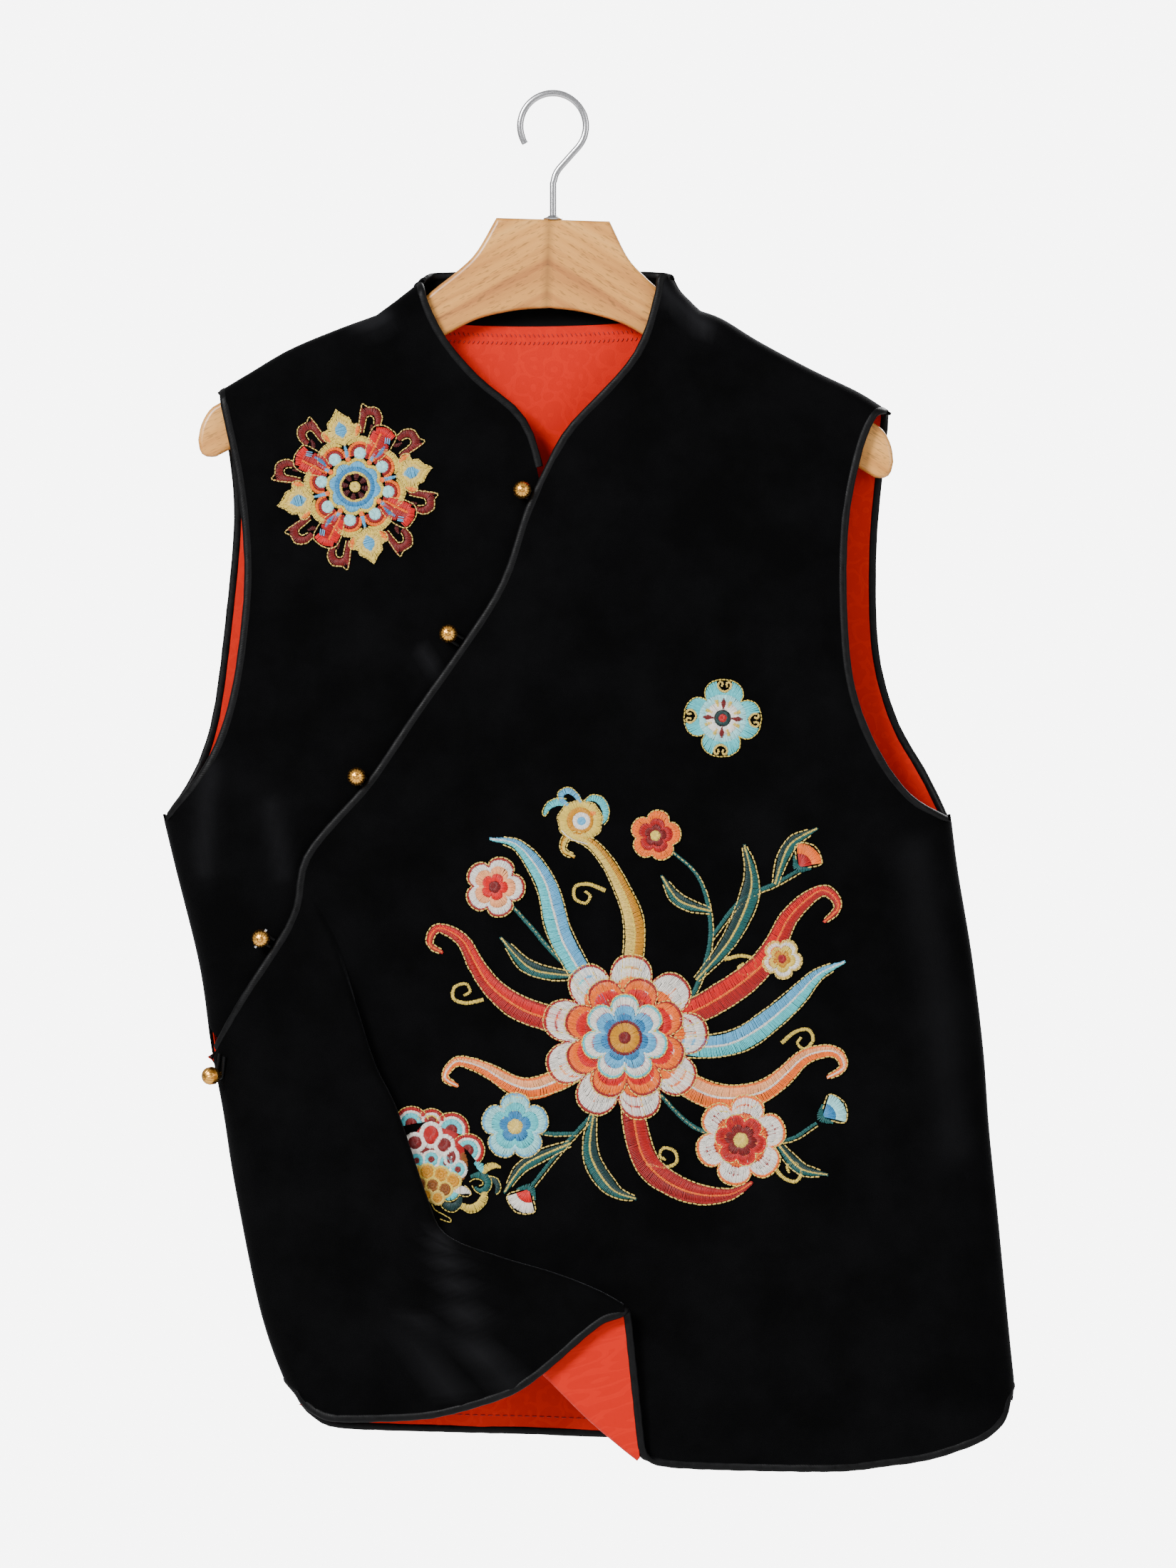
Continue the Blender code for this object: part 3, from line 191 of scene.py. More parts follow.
def lengths(curve):
    return np.concatenate([[0], np.cumsum(np.linalg.norm(np.diff(curve, axis=0), axis=1))])


def sample(curve, fractions):
    run = lengths(curve)
    at = np.asarray(fractions) * run[-1]
    return np.stack([np.interp(at, run, curve[:, k]) for k in range(curve.shape[1])], axis=1)


def unit(vectors):
    return vectors / np.maximum(np.linalg.norm(vectors, axis=-1), 1e-9)[..., None]


def heading(curve):
    return unit(np.gradient(curve, axis=0))


def aside(run):
    # A quarter turn from the way a flat line runs.
    return np.stack([run[:, 1], -run[:, 0]], axis=1)


def shifted(curve, distance):
    return curve + distance * aside(heading(curve))


def join(*curves):
    return np.vstack([curves[0]] + [c[1:] for c in curves[1:]])


def step(value):
    v = np.clip(value, 0, 1)
    return v * v * (3 - 2 * v)


def refined(fractions, parts):
    # The same fractions with more between them.
    f = np.array(fractions, float)
    return np.interp(np.arange((len(f) - 1) * parts + 1) / parts, np.arange(len(f)), f)


def distanceTo(curve, points):
    a, b = curve[:-1], curve[1:]
    ab = b - a
    found = []
    for chunk in np.array_split(points, max(1, len(points) // 1500)):
        ap = chunk[:, None, :] - a
        t = np.clip((ap * ab).sum(2) / (ab * ab).sum(1), 0, 1)
        found.append(np.linalg.norm(ap - t[..., None] * ab, axis=2).min(axis=1))
    return np.concatenate(found)


def eased(value, name):
    start, over = cloth[name]
    return step((value - start) / over)


sideCurves = {"left": smooth(edges["leftSide"]), "right": smooth(edges["rightSide"])}
seamLines = {
    side: join(*[smooth(edges[side + part]) for part in ("Collar", "Shoulder", "Arm", "Side")])
    for side in ("left", "right")
}
rubAndSheenLines = [(side, smooth(line, 8), width, strength) for side, line, width, strength in rubsAndSheens]
creaseLines = [(side, smooth((a, b, c), 6), width, height) for side, a, b, c, width, height in creases]
slantCurve = smooth(edges["slant"])


def rounding(points):
    # 0 on the seams that join front and back, 1 away from them, along a quarter of an ellipse.
    drop = points[:, 1]
    radius = cloth["shoulderRound"] + (cloth["armholeRound"] - cloth["shoulderRound"]) * eased(drop, "armholeFrom")
    radius = radius + (cloth["sideRound"] - cloth["armholeRound"]) * eased(drop, "sideFrom")
    near = np.minimum(distanceTo(seamLines["left"], points), distanceTo(seamLines["right"], points))
    near = np.where(near < cloth["onSeam"], 0, near)
    return np.sqrt(1 - (1 - np.minimum(near / radius, 1)) ** 2)


def overlap(points):
    # 1 where the over front lies on the under front, fading out past its hidden edge.
    across = points[:, 0] - np.interp(points[:, 1], slantCurve[:, 1], slantCurve[:, 0])
    fade = 1 - eased(across - cloth["underlap"], "overlapFade")
    return fade * eased(points[:, 1], "overlapFrom") * (1 - eased(points[:, 1], "overlapTo"))


def faceDepth(points, side, over=False):
    full = cloth["frontDepth"] if side == "front" else cloth["backDepth"]
    roundOff = rounding(points)
    reach = cloth["shoulderDepth"] + (full - cloth["shoulderDepth"]) * eased(points[:, 1], "depthFrom")
    for creaseSide, line, width, height in creaseLines:
        if creaseSide == side:
            reach = reach + height * np.exp(-((distanceTo(line, points) / width) ** 2))
    out = cloth["gap"] / 2 + reach * roundOff
    return out + cloth["overlapLift"] * overlap(points) * roundOff**0.25 if over else out


def faceNormals(flat, side, over):
    sign = -1 if side == "front" else 1
    reach = 0.05
    slope = []
    for way in (np.array((reach, 0)), np.array((0, reach))):
        slope.append((faceDepth(flat + way, side, over) - faceDepth(flat - way, side, over)) / (2 * reach))
    return unit(np.stack([-slope[0], np.full(len(flat), sign), slope[1]], axis=1))


def onFace(points, side, over, above=0.0):
    # 3D points that lie this far above a panel's face at (x, drop), and the face's direction there.
    flat = np.asarray(points, float)
    out = faceNormals(flat, side, over)
    sign = -1 if side == "front" else 1
    place = np.stack([flat[:, 0], sign * faceDepth(flat, side, over), -flat[:, 1]], axis=1)
    return place + out * np.broadcast_to(above, len(flat))[:, None], out


def lift(grid, side, over=False):
    out = faceDepth(grid.reshape(-1, 2), side, over).reshape(grid.shape[:2])
    return np.stack([grid[..., 0], (-1 if side == "front" else 1) * out, -grid[..., 1]], axis=2)


def patch(top, bottom, left, right, down):
    topRun, bottomRun = lengths(top), lengths(bottom)
    v = np.asarray(down)[:, None]
    first = topRun / topRun[-1] if topRun[-1] > 0 else bottomRun / bottomRun[-1]
    s = ((1 - v) * first + v * bottomRun / bottomRun[-1])[..., None]
    v = v[..., None]
    ends = (1 - v) * top[None] + v * bottom[None]
    corners = (1 - s) * (1 - v) * top[0] + s * (1 - v) * top[-1] + (1 - s) * v * bottom[0] + s * v * bottom[-1]
    return (1 - s) * left[:, None] + s * right[:, None] + ends - corners


def crossings(curve, line):
    found = []
    for i, (a, b) in enumerate(zip(curve, curve[1:])):
        c, d = line[:-1], line[1:]
        ab, cd, ac = b - a, d - c, c - a
        turn = ab[0] * cd[:, 1] - ab[1] * cd[:, 0]
        turn = np.where(np.abs(turn) < 1e-12, 1e-12, turn)
        t = (ac[:, 0] * cd[:, 1] - ac[:, 1] * cd[:, 0]) / turn
        u = (ac[:, 0] * ab[1] - ac[:, 1] * ab[0]) / turn
        found += [(i, a + t[k] * ab) for k in np.flatnonzero((t >= 0) & (t < 1) & (u >= 0) & (u < 1))]
    return found


def trimmed(curve, line, first=True, last=True):
    # The curve made longer at its ends and cut where it meets the side line, or led on to it.
    if first:
        curve = trimmed(curve[::-1], line, False, True)[::-1]
    if not last:
        return curve
    longer = np.vstack([curve, unit(curve[-1:] - curve[-2:-1]) * 9 + curve[-1:]])
    found = [cut for cut in crossings(longer, line) if cut[0] > len(curve) / 2]
    if not found:
        return np.vstack([curve, line[((line - longer[-1]) ** 2).sum(1).argmin()][None]])
    segment, point = found[0]
    return np.vstack([longer[:segment + 1], point[None]])


def between(curve, a, b):
    i, j = [int(np.argmin(((curve - point) ** 2).sum(1))) for point in (a, b)]
    return np.vstack([[a], curve[i + 1:j], [b]])


def rowFractions(total, corner, above, below):
    upper = np.linspace(detail["secondRow"], corner - detail["cornerRow"], above)
    return np.concatenate([[0, detail["firstRow"]], upper, np.linspace(corner, total, below + 1)]) / total


print("stage: curves ready")


# ---- walls, rods and shared mesh work


def newObject(name, points, faces, material, smoothAngle=None):
    mesh = bpy.data.meshes.new(name)
    mesh.from_pydata((np.asarray(points) * mm).tolist(), [], [list(map(int, f)) for f in faces])
    if material:
        mesh.materials.append(material)
    mesh.shade_smooth()
    if smoothAngle:
        mesh.set_sharp_from_angle(angle=math.radians(smoothAngle))
    obj = bpy.data.objects.new(name, mesh)
    bpy.context.scene.collection.objects.link(obj)
    return obj


def pointOutwards(obj):
    work = bmesh.new()
    work.from_mesh(obj.data)
    bmesh.ops.recalc_face_normals(work, faces=work.faces)
    if work.calc_volume(signed=True) < 0:
        bmesh.ops.reverse_faces(work, faces=work.faces)
    work.to_mesh(obj.data)
    work.free()


def pointLayer(obj, name, values):
    obj.data.attributes.new(name, "FLOAT", "POINT").data.foreach_set("value", values)


def cutLayer(obj, cuts):
    # The cloth's own coordinates, from a pair for each point.
    uv = obj.data.uv_layers.new(name="cut")
    corners = np.empty(len(obj.data.loops), int)
    obj.data.loops.foreach_get("vertex_index", corners)
    uv.data.foreach_set("uv", (cuts[corners] * mm).ravel())


def joined(grids):
    # Points, quads and cloth coordinates of grids that share edges.
    index, points, cuts, faces = {}, [], [], []
    for grid in grids:
        rows, columns = grid.shape[:2]
        steps = np.linalg.norm(np.diff(grid, axis=1), axis=2)
        across = np.concatenate([np.zeros((rows, 1)), np.cumsum(steps, axis=1)], axis=1) + grid[:, :1, 0]
        number = np.empty((rows, columns), int)
        for i in range(rows):
            for j in range(columns):
                key = tuple(np.round(grid[i, j], 3))
                if key not in index:
                    index[key] = len(points)
                    points.append(grid[i, j])
                    cuts.append((across[i, j], grid[i, j, 2]))
                number[i, j] = index[key]
        for i in range(rows - 1):
            for j in range(columns - 1):
                around = [number[i, j], number[i, j + 1], number[i + 1, j + 1], number[i + 1, j]]
                face = [p for k, p in enumerate(around) if p != around[k - 1]]
                if len(face) > 2:
                    faces.append(face)
    return np.array(points), faces, np.array(cuts)


def meshNormals(points, faces, side):
    out = np.zeros_like(points)
    quads = np.array([f if len(f) == 4 else f + f[-1:] for f in faces])
    p = points[quads]
    normal = np.cross(p[:, 2] - p[:, 0], p[:, 3] - p[:, 1])
    for k in range(4):
        np.add.at(out, quads[:, k], normal)
    wanted = -1 if side == "front" else 1
    return unit(out) * (1 if out[:, 1].sum() * wanted > 0 else -1)


def seamNormals(flat):
    best = np.full(len(flat), np.inf)
    out = np.zeros((len(flat), 3))
    for side, turn in (("left", -1), ("right", 1)):
        line = seamLines[side]
        run = unit(np.diff(line, axis=0))
        away = np.linalg.norm(flat[:, None] - (line[1:] + line[:-1]) / 2, axis=2)
        near, closer = away.argmin(axis=1), away.min(axis=1) < best
        best = np.minimum(best, away.min(axis=1))
        found = np.stack([run[near, 1] * turn, np.zeros(len(flat)), run[near, 0] * turn], axis=1)
        out[closer] = found[closer]
    return out


def sheetOf(grids, side, over=False):
    points, faces, cuts = joined(grids)
    sign = -1 if side == "front" else 1
    flat = np.stack([points[:, 0], -points[:, 2]], axis=1)
    out = meshNormals(points, faces, side)
    onIt = np.abs(sign * points[:, 1] - faceDepth(flat, side, over)) < 1e-6
    out[onIt] = faceNormals(flat[onIt], side, over)
    seam = np.abs(sign * points[:, 1] - cloth["gap"] / 2) < 0.01
    out[seam] = seamNormals(flat[seam])
    return {"points": points, "faces": faces, "cuts": cuts, "out": out, "side": side}


def napLight(sheet):
    # How much the velvet's colour is lightened at each point of a face: painted sheen, and the real rub mark below the
    # second button.
    flat = sheet["points"] * (1, 0, -1)
    light = np.zeros(len(flat))
    for side, line, width, strength in rubAndSheenLines:
        if side == sheet["side"]:
            light = np.maximum(light, strength * np.exp(-((distanceTo(line, flat[:, [0, 2]]) / width) ** 2)))
    return np.tile(light, 2)


def wall(name, sheet, near, far, material):
    # A closed wall between two depths below the sheet's face, with the cloth's own coordinates.
    points, faces, out = sheet["points"], sheet["faces"], sheet["out"]
    sign = -1 if sheet["side"] == "front" else 1
    layers = [points - out * near, points - out * far]
    for layer in layers:
        layer[:, 1] = sign * np.maximum(sign * layer[:, 1], cloth["gap"] / 2)
    count = len(points)
    edgeSet = {(a, b) for face in faces for a, b in zip(face, face[1:] + face[:1])}
    rim = [(a, b) for a, b in edgeSet if (b, a) not in edgeSet]
    solid = [list(f) for f in faces] + [[p + count for p in reversed(f)] for f in faces]
    solid += [[b, a, a + count, b + count] for a, b in sorted(rim)]
    obj = newObject(name, np.vstack(layers), solid, material, 50)
    pointOutwards(obj)
    pointLayer(obj, "napLight", napLight(sheet))
    cutLayer(obj, np.vstack([sheet["cuts"]] * 2))
    return obj


# Two waves of pucker as length, height and shift, and how square a rod's section is
rod = {"puckers": ((1.9, 1.0, 0.0), (3.1, 0.6, 1.3)), "squareness": 0.8}


def sweep(name, centre, wide, high, halfWidth, halfHeight, material, keep=None, ring=12, ripple=0.0):
    # A closed rod of oval section along the centre points; ripple puckers it as sewn bias cloth does.
    run = lengths(centre)
    pucker = 1 + ripple * sum(height * np.sin(run / length + shift) for length, height, shift in rod["puckers"])
    points = []
    for k in range(ring):
        angle = 2 * math.pi * (k + 0.5) / ring
        grow = 1 + (pucker - 1) * (0.6 + 0.4 * math.cos(2 * angle))
        x, y = [math.copysign(abs(value) ** rod["squareness"], value) for value in (math.cos(angle), math.sin(angle))]
        points.append(centre + (wide * halfWidth * x + high * halfHeight * y) * grow[:, None])
    points = np.stack(points, axis=1)
    if keep:
        points[..., 1] = keep * np.maximum(keep * points[..., 1], cloth["gap"] / 2)
    count = len(centre)
    faces = []
    for i in range(count - 1):
        for k in range(ring):
            n = (k + 1) % ring
            faces.append([i * ring + k, i * ring + n, (i + 1) * ring + n, (i + 1) * ring + k])
    faces += [list(range(ring)), [(count - 1) * ring + k for k in range(ring)]]
    obj = newObject(name, points.reshape(-1, 3), faces, material, 60)
    pointOutwards(obj)
    around = np.tile(np.arange(ring) / ring, count) * 2 * math.pi * halfWidth
    cutLayer(obj, np.stack([np.repeat(run, ring), around], axis=1))
    return obj


def rodPath(edge, inner, sheet, stack=None):
    # The middle of a rod that wraps a wall's edge, half way through it, and its two cross directions.
    points, out = sheet["points"], sheet["out"]
    stack = stack or cloth["stack"]
    high = out[[int(np.argmin(((points - p) ** 2).sum(1))) for p in edge]]
    run = heading(edge)
    away = edge - inner
    away = away - (away * high).sum(1)[:, None] * high
    away = unit(away - (away * run).sum(1)[:, None] * run)
    reach = cloth["gap"] / 2 + cloth["bindingWidth"] / 2 - cloth["wrap"] / 2
    return edge + away * reach - high * stack / 2, away, high


def relaxed(path, rounds=2):
    # Evens out the rod's path and its directions a little, so that it runs smoothly.
    centre, wide, high = [p.copy() for p in path]
    for _ in range(rounds):
        for line in (centre, wide, high):
            line[1:-1] = (line[:-2] + 2 * line[1:-1] + line[2:]) / 4
    return centre, unit(wide), unit(high)


def satinRod(nodeName, centre, wide, high, side):
    # The satin that stands for a binding's solid, kept on its own side of the garment.
    half = (cloth["bindingWidth"] + cloth["wrap"]) / 2, cloth["bindingHeight"] / 2
    keep = -1 if side == "front" else 1
    piece = sweep(
        nodeName + "_satin", centre, wide, high, *half, finishes["binding"], keep, ripple=cloth["pucker"],
    )
    place(piece, "binding", nodeName)


def binding(nodeName, edge, inner, sheet, first=0.01, last=0.01, stack=None):
    # The binding of a wall's edge, longer than the edge by these lengths at its two ends.
    path = relaxed(rodPath(*lengthened(edge, inner, first, last), sheet, stack))
    satinRod(nodeName, *path, sheet["side"])


# ---- materials

# The colour sockets of a mix node by number, because its names repeat
mixSockets = {"first": 6, "second": 7, "result": 2}


def newMaterial(name, colour, roughness, metallic=0.0, values=None):
    material = bpy.data.materials.new(name)
    material.use_nodes = True
    shader = material.node_tree.nodes["Principled BSDF"]
    shader.inputs["Base Color"].default_value = (*colour, 1)
    shader.inputs["Roughness"].default_value = roughness
    shader.inputs["Metallic"].default_value = metallic
    for key, value in (values or {}).items():
        shader.inputs[key].default_value = value
    return material, material.node_tree, shader


def painted(tree, shader, colour, rough=None):
    tree.links.new(colour, shader.inputs["Base Color"])
    if rough:
        tree.links.new(rough, shader.inputs["Roughness"])


def node(tree, kind, links=(), **settings):
    # Adds a node; settings name its properties or its inputs, and links are (input, output socket).
    made = tree.nodes.new(kind)
    for key, value in settings.items():
        name = key.replace("_", " ")
        if hasattr(made, key):
            setattr(made, key, value)
        else:
            made.inputs[name].default_value = value
    for target, source in links:
        tree.links.new(source, made.inputs[target])
    return made


def noise(tree, place, scale, fine, **settings):
    return node(tree, "ShaderNodeTexNoise", [("Vector", place)], Scale=scale, Detail=fine, **settings).outputs["Fac"]


def ramp(tree, source, stops):
    made = tree.nodes.new("ShaderNodeValToRGB")
    elements = made.color_ramp.elements
    while len(elements) < len(stops):
        elements.new(0.5)
    for element, (place, colour) in zip(elements, stops):
        element.position = place
        element.color = (*colour, 1) if isinstance(colour, tuple) else (colour, colour, colour, 1)
    tree.links.new(source, made.inputs[0])
    return made.outputs[0]


def product(tree, first, second):
    made = node(
        tree, "ShaderNodeMix", [(mixSockets["first"], first), (mixSockets["second"], second)],
        data_type="RGBA", blend_type="MULTIPLY", Factor=1.0,
    )
    return made.outputs[mixSockets["result"]]


def bump(tree, shader, height, distance, strength, below=None):
    made = node(tree, "ShaderNodeBump", [("Height", height)], Distance=distance, Strength=strength)
    if below:
        tree.links.new(below, made.inputs["Normal"])
    tree.links.new(made.outputs["Normal"], shader.inputs["Normal"])
    return made.outputs["Normal"]


def makeVelvet():
    material, tree, shader = newMaterial("blackVelvet", (0.0032, 0.0032, 0.0036), 0.85, values={
        "Specular IOR Level": 0.04, "Sheen Weight": 0.08, "Sheen Roughness": 0.26,
        "Sheen Tint": (0.86, 0.88, 0.95, 1),
    })
    place = node(tree, "ShaderNodeTexCoord").outputs["Object"]
    crushed = noise(tree, place, 26.0, 4.0, Roughness=0.6)
    tone = ramp(tree, crushed, [(0.35, (0.0006, 0.0006, 0.0007)), (0.7, (0.0019, 0.0019, 0.0022))])
    # napLight mixes the colour towards grey: painted sheen on creases and kinks, and one real rub mark
    rubAndSheenLight = node(tree, "ShaderNodeAttribute", attribute_name="napLight").outputs["Fac"]
    wornAndSheen = node(tree, "ShaderNodeMix", [("Factor", rubAndSheenLight), (mixSockets["first"], tone)], data_type="RGBA")
    wornAndSheen.inputs[mixSockets["second"]].default_value = (0.020, 0.020, 0.0225, 1)
    painted(tree, shader, wornAndSheen.outputs[mixSockets["result"]])
    nap = noise(tree, place, 2600.0, 2.0, Roughness=0.7)
    rubbed = noise(tree, place, 70.0, 3.0, Roughness=0.5)
    soft = bump(tree, shader, rubbed, 0.0011, 0.35)
    bump(tree, shader, nap, 0.0003, 0.6, soft)
    return material


def makeLining():
    # Red satin with a jacquard of small blossoms in the same red.
    material, tree, shader = newMaterial("redJacquard", (0.62, 0.008, 0.002), 0.5, values={
        "Specular IOR Level": 0.3, "Specular Tint": (1.0, 0.45, 0.3, 1),
        "Sheen Weight": 0.05, "Sheen Roughness": 0.4, "Sheen Tint": (1.0, 0.3, 0.15, 1),
    })
    uv = node(tree, "ShaderNodeUVMap", uv_map="cut").outputs["UV"]
    warp = node(tree, "ShaderNodeTexNoise", [("Vector", uv)], Scale=55.0, Detail=1.0)
    bent = node(tree, "ShaderNodeVectorMath", [("Vector", warp.outputs["Color"])], operation="SCALE", Scale=0.012)
    wavy = node(tree, "ShaderNodeVectorMath", [(0, uv), (1, bent.outputs[0])], operation="ADD")
    cells = node(tree, "ShaderNodeTexVoronoi", [("Vector", wavy.outputs[0])], Scale=95.0, Randomness=0.8)
    scaled = node(tree, "ShaderNodeMath", [(0, cells.outputs["Distance"])], operation="MULTIPLY")
    scaled.inputs[1].default_value = 13.0
    rings = node(tree, "ShaderNodeMath", [(0, scaled.outputs[0])], operation="SINE")
    figure = ramp(tree, rings.outputs[0], [(0.42, 0.0), (0.58, 1.0)])
    tone = ramp(tree, figure, [(0.0, (0.54, 0.0066, 0.0018)), (1.0, (0.585, 0.0088, 0.0026))])
    painted(tree, shader, tone, ramp(tree, figure, [(0.0, 0.54), (1.0, 0.46)]))
    twill = node(tree, "ShaderNodeTexWave", [("Vector", uv)], Scale=620.0, bands_direction="DIAGONAL")
    relief = bump(tree, shader, figure, 0.00006, 0.4)
    bump(tree, shader, twill.outputs["Fac"], 0.00004, 0.35, relief)
    return material


def makeBinding():
    material, tree, shader = newMaterial(
        "blackSatin", (0.004, 0.004, 0.0045), 0.5, values={"Specular IOR Level": 0.13},
    )
    uv = node(tree, "ShaderNodeUVMap", uv_map="cut").outputs["UV"]
    twill = node(tree, "ShaderNodeTexWave", [("Vector", uv)], Scale=420.0, Distortion=1.5, bands_direction="DIAGONAL")
    crease = noise(tree, uv, 190.0, 3.0)
    # The crease noise makes the satin darker in the low parts of its creases and lighter on their ridges: painted
    # shade and painted highlight. It also sets the roughness and the bump.
    tone = ramp(tree, crease, [(0.3, (0.0012, 0.0012, 0.0014)), (0.75, (0.0036, 0.0036, 0.0042))])
    painted(tree, shader, tone, ramp(tree, crease, [(0.3, 0.40), (0.7, 0.58)]))
    soft = bump(tree, shader, crease, 0.0006, 0.5)
    bump(tree, shader, twill.outputs["Fac"], 0.00005, 0.5, soft)
    return material


def makeThread():
    # The colour of each stitch is in the mesh, with a little unevenness of the dye on top.
    material, tree, shader = newMaterial("silkThread", (0.5, 0.5, 0.5), 0.42, values={
        "Specular IOR Level": 0.45, "Sheen Weight": 0.1, "Sheen Roughness": 0.4,
    })
    silk = node(tree, "ShaderNodeAttribute", attribute_name="threadColour").outputs["Color"]
    place = node(tree, "ShaderNodeTexCoord").outputs["Object"]
    uneven = noise(tree, place, 900.0, 2.0)
    shade = ramp(tree, uneven, [(0.3, 0.72), (0.7, 1.0)])
    painted(tree, shader, product(tree, silk, shade))
    ply = noise(tree, place, 2400.0, 1.0)
    bump(tree, shader, ply, 0.0002, 0.4)
    return material


def makeBeech(tilt):
    # Two halves glued in the middle, with the grain of each running along its arm.
    coat = {"Coat Weight": 0.25, "Coat Roughness": 0.22}
    material, tree, shader = newMaterial("lacqueredBeech", (0.56, 0.25, 0.08), 0.36, values=coat)
    place = node(tree, "ShaderNodeTexCoord").outputs["Object"]
    level = node(tree, "ShaderNodeMapping", [("Vector", place)], vector_type="POINT")
    level.inputs["Rotation"].default_value = (0, -tilt, 0)
    split = node(tree, "ShaderNodeSeparateXYZ", [(0, level.outputs[0])])
    half = node(tree, "ShaderNodeMath", [(0, split.outputs["X"])], operation="ABSOLUTE")
    mirrored = node(tree, "ShaderNodeCombineXYZ", [
        ("X", half.outputs[0]), ("Y", split.outputs["Y"]), ("Z", split.outputs["Z"]),
    ])
    sloped = node(tree, "ShaderNodeMapping", [("Vector", mirrored.outputs[0])], vector_type="POINT")
    sloped.inputs["Rotation"].default_value = (0, math.radians(-29), 0)
    along = node(tree, "ShaderNodeVectorMath", [(0, sloped.outputs[0])], operation="MULTIPLY")
    along.inputs[1].default_value = (5.0, 60.0, 120.0)
    grain = noise(tree, along.outputs[0], 1.0, 6.0, Distortion=0.35)
    tone = ramp(
        tree, grain,
        [
            (0.30, (0.44, 0.155, 0.026)), (0.46, (0.65, 0.280, 0.052)),
            (0.58, (0.73, 0.335, 0.072)), (0.72, (0.80, 0.405, 0.110)),
        ],
    )
    flecks = node(tree, "ShaderNodeVectorMath", [(0, sloped.outputs[0])], operation="MULTIPLY")
    flecks.inputs[1].default_value = (210.0, 1500.0, 1500.0)
    rays = noise(tree, flecks.outputs[0], 1.0, 1.0)
    fleck = ramp(tree, rays, [(0.58, 1.0), (0.68, 0.62)])
    glue = ramp(tree, half.outputs[0], [(0.0, 0.62), (0.0003, 0.75), (0.0006, 1.0)])
    rough = ramp(tree, grain, [(0.3, 0.46), (0.7, 0.32)])
    painted(tree, shader, product(tree, product(tree, tone, fleck), glue), rough)
    bump(tree, shader, grain, 0.0002, 0.25)
    return material


def makeGold():
    material, tree, shader = newMaterial("gildedBrass", (0.80, 0.44, 0.13), 0.27, 1.0)
    place = node(tree, "ShaderNodeTexCoord").outputs["Object"]
    sunk = node(tree, "ShaderNodeAttribute", attribute_name="relief").outputs["Fac"]
    # The colour is darker the deeper the carving is sunk.
    tone = ramp(tree, sunk, [(0.0, (0.10, 0.030, 0.006)), (0.4, (0.50, 0.20, 0.030)), (0.85, (0.86, 0.44, 0.09))])
    wornAndSheen = noise(tree, place, 800.0, 3.0)
    painted(tree, shader, tone, ramp(tree, wornAndSheen, [(0.3, 0.18), (0.7, 0.38)]))
    bump(tree, shader, wornAndSheen, 0.0001, 0.2)
    return material


def makeSteel(name, tone):
    material, tree, shader = newMaterial(name, (tone, tone, tone * 1.03), 0.24, 1.0)
    place = node(tree, "ShaderNodeTexCoord").outputs["Object"]
    drawn = noise(tree, place, 1500.0, 2.0)
    rough = ramp(tree, drawn, [(0.3, 0.16), (0.7, 0.34)])
    tree.links.new(rough, shader.inputs["Roughness"])
    bump(tree, shader, drawn, 0.00005, 0.3)
    return material


hanger = {
    "thick": 10.0, "edgeRound": 2.6, "tilt": math.radians(1.8), "headDrop": 71.0, "roundSteps": 5,
    "top": [
        (32.6, 0.0), (43.4, 20.0), (53.8, 31.0), (65.0, 40.4), (74.0, 48.0), (88.0, 57.0), (105.0, 65.5), (
            125.0, 75.4,
        ),
        (150.0, 88.0), (172.0, 100.5), (186.0, 110.0), (193.5, 115.0), (198.4, 124.0), (200.0, 133.0),
    ],
    "under": [
        (0.0, 50.6), (18.7, 52.4), (41.5, 58.2), (60.4, 68.6), (76.0, 78.0), (120.0, 102.0), (183.0, 138.5), (
            192.0, 142.5,
        ),
        (198.0, 140.5), (200.0, 133.0),
    ],
    "headSteps": 8, "armSteps": 72,
}
finishes = {
    "velvet": makeVelvet(), "lining": makeLining(), "binding": makeBinding(), "thread": makeThread(),
    "beech": makeBeech(hanger["tilt"]), "gold": makeGold(), "steel": makeSteel("polishedSteel", 0.62),
}
print("stage: finishes ready")


# ---- the three panels, each a velvet wall with a lining behind it, and the collar, a velvet wall alone

detail = {
    "rows": 4, "columns": 4, "foldRows": 60, "rowsToSide": 20, "layerSteps": 6,
    "firstRow": 3.0, "secondRow": 8.0, "cornerRow": 9.0, "armRows": 11, "collarRows": 9,
}
# Where the over front's side grid starts, and how its rows and its fall ease towards the fold
overPanel = {"highSide": 466.0, "rowEasing": 1.35, "fallEasing": 1.3, "sideStart": (-3.1, 4.0)}
# The under front's hidden edge and the tuck of its side under the over front
underPanel = {
    "hiddenFrom": (262, -158), "bend": (-4.0, 232.0), "end": (-188.5, 592.0), "tuck": 9.0, "tuckFrom": (533, 15),
}
columns = {
    "wide": (0, 0.04, 0.12, 0.2, 0.3, 0.4, 0.5, 0.6, 0.7, 0.79, 0.865, 0.925, 0.967, 0.991, 1),
    "left": (0, 0.02, 0.08, 0.2, 0.42, 0.7, 1),
    "shoulder": (0, 0.15, 0.31, 0.47, 0.63, 0.78, 0.88, 0.94, 0.975, 0.993, 1),
    "right": (0, 0.03, 0.1, 0.2, 0.32, 0.45, 0.6, 0.75, 0.88, 1),
    "back": (
        0, 0.008, 0.03, 0.075, 0.14, 0.2, 0.25, 0.3, 0.36, 0.45,
        0.55, 0.64, 0.7, 0.75, 0.8, 0.86, 0.925, 0.97, 0.992, 1,
    ),
    "neck": (0, 0.025, 0.07, 0.16, 0.36, 0.64, 0.84, 0.93, 0.975, 1),
}
fine = {name: refined(values, detail["columns"]) for name, values in columns.items()}


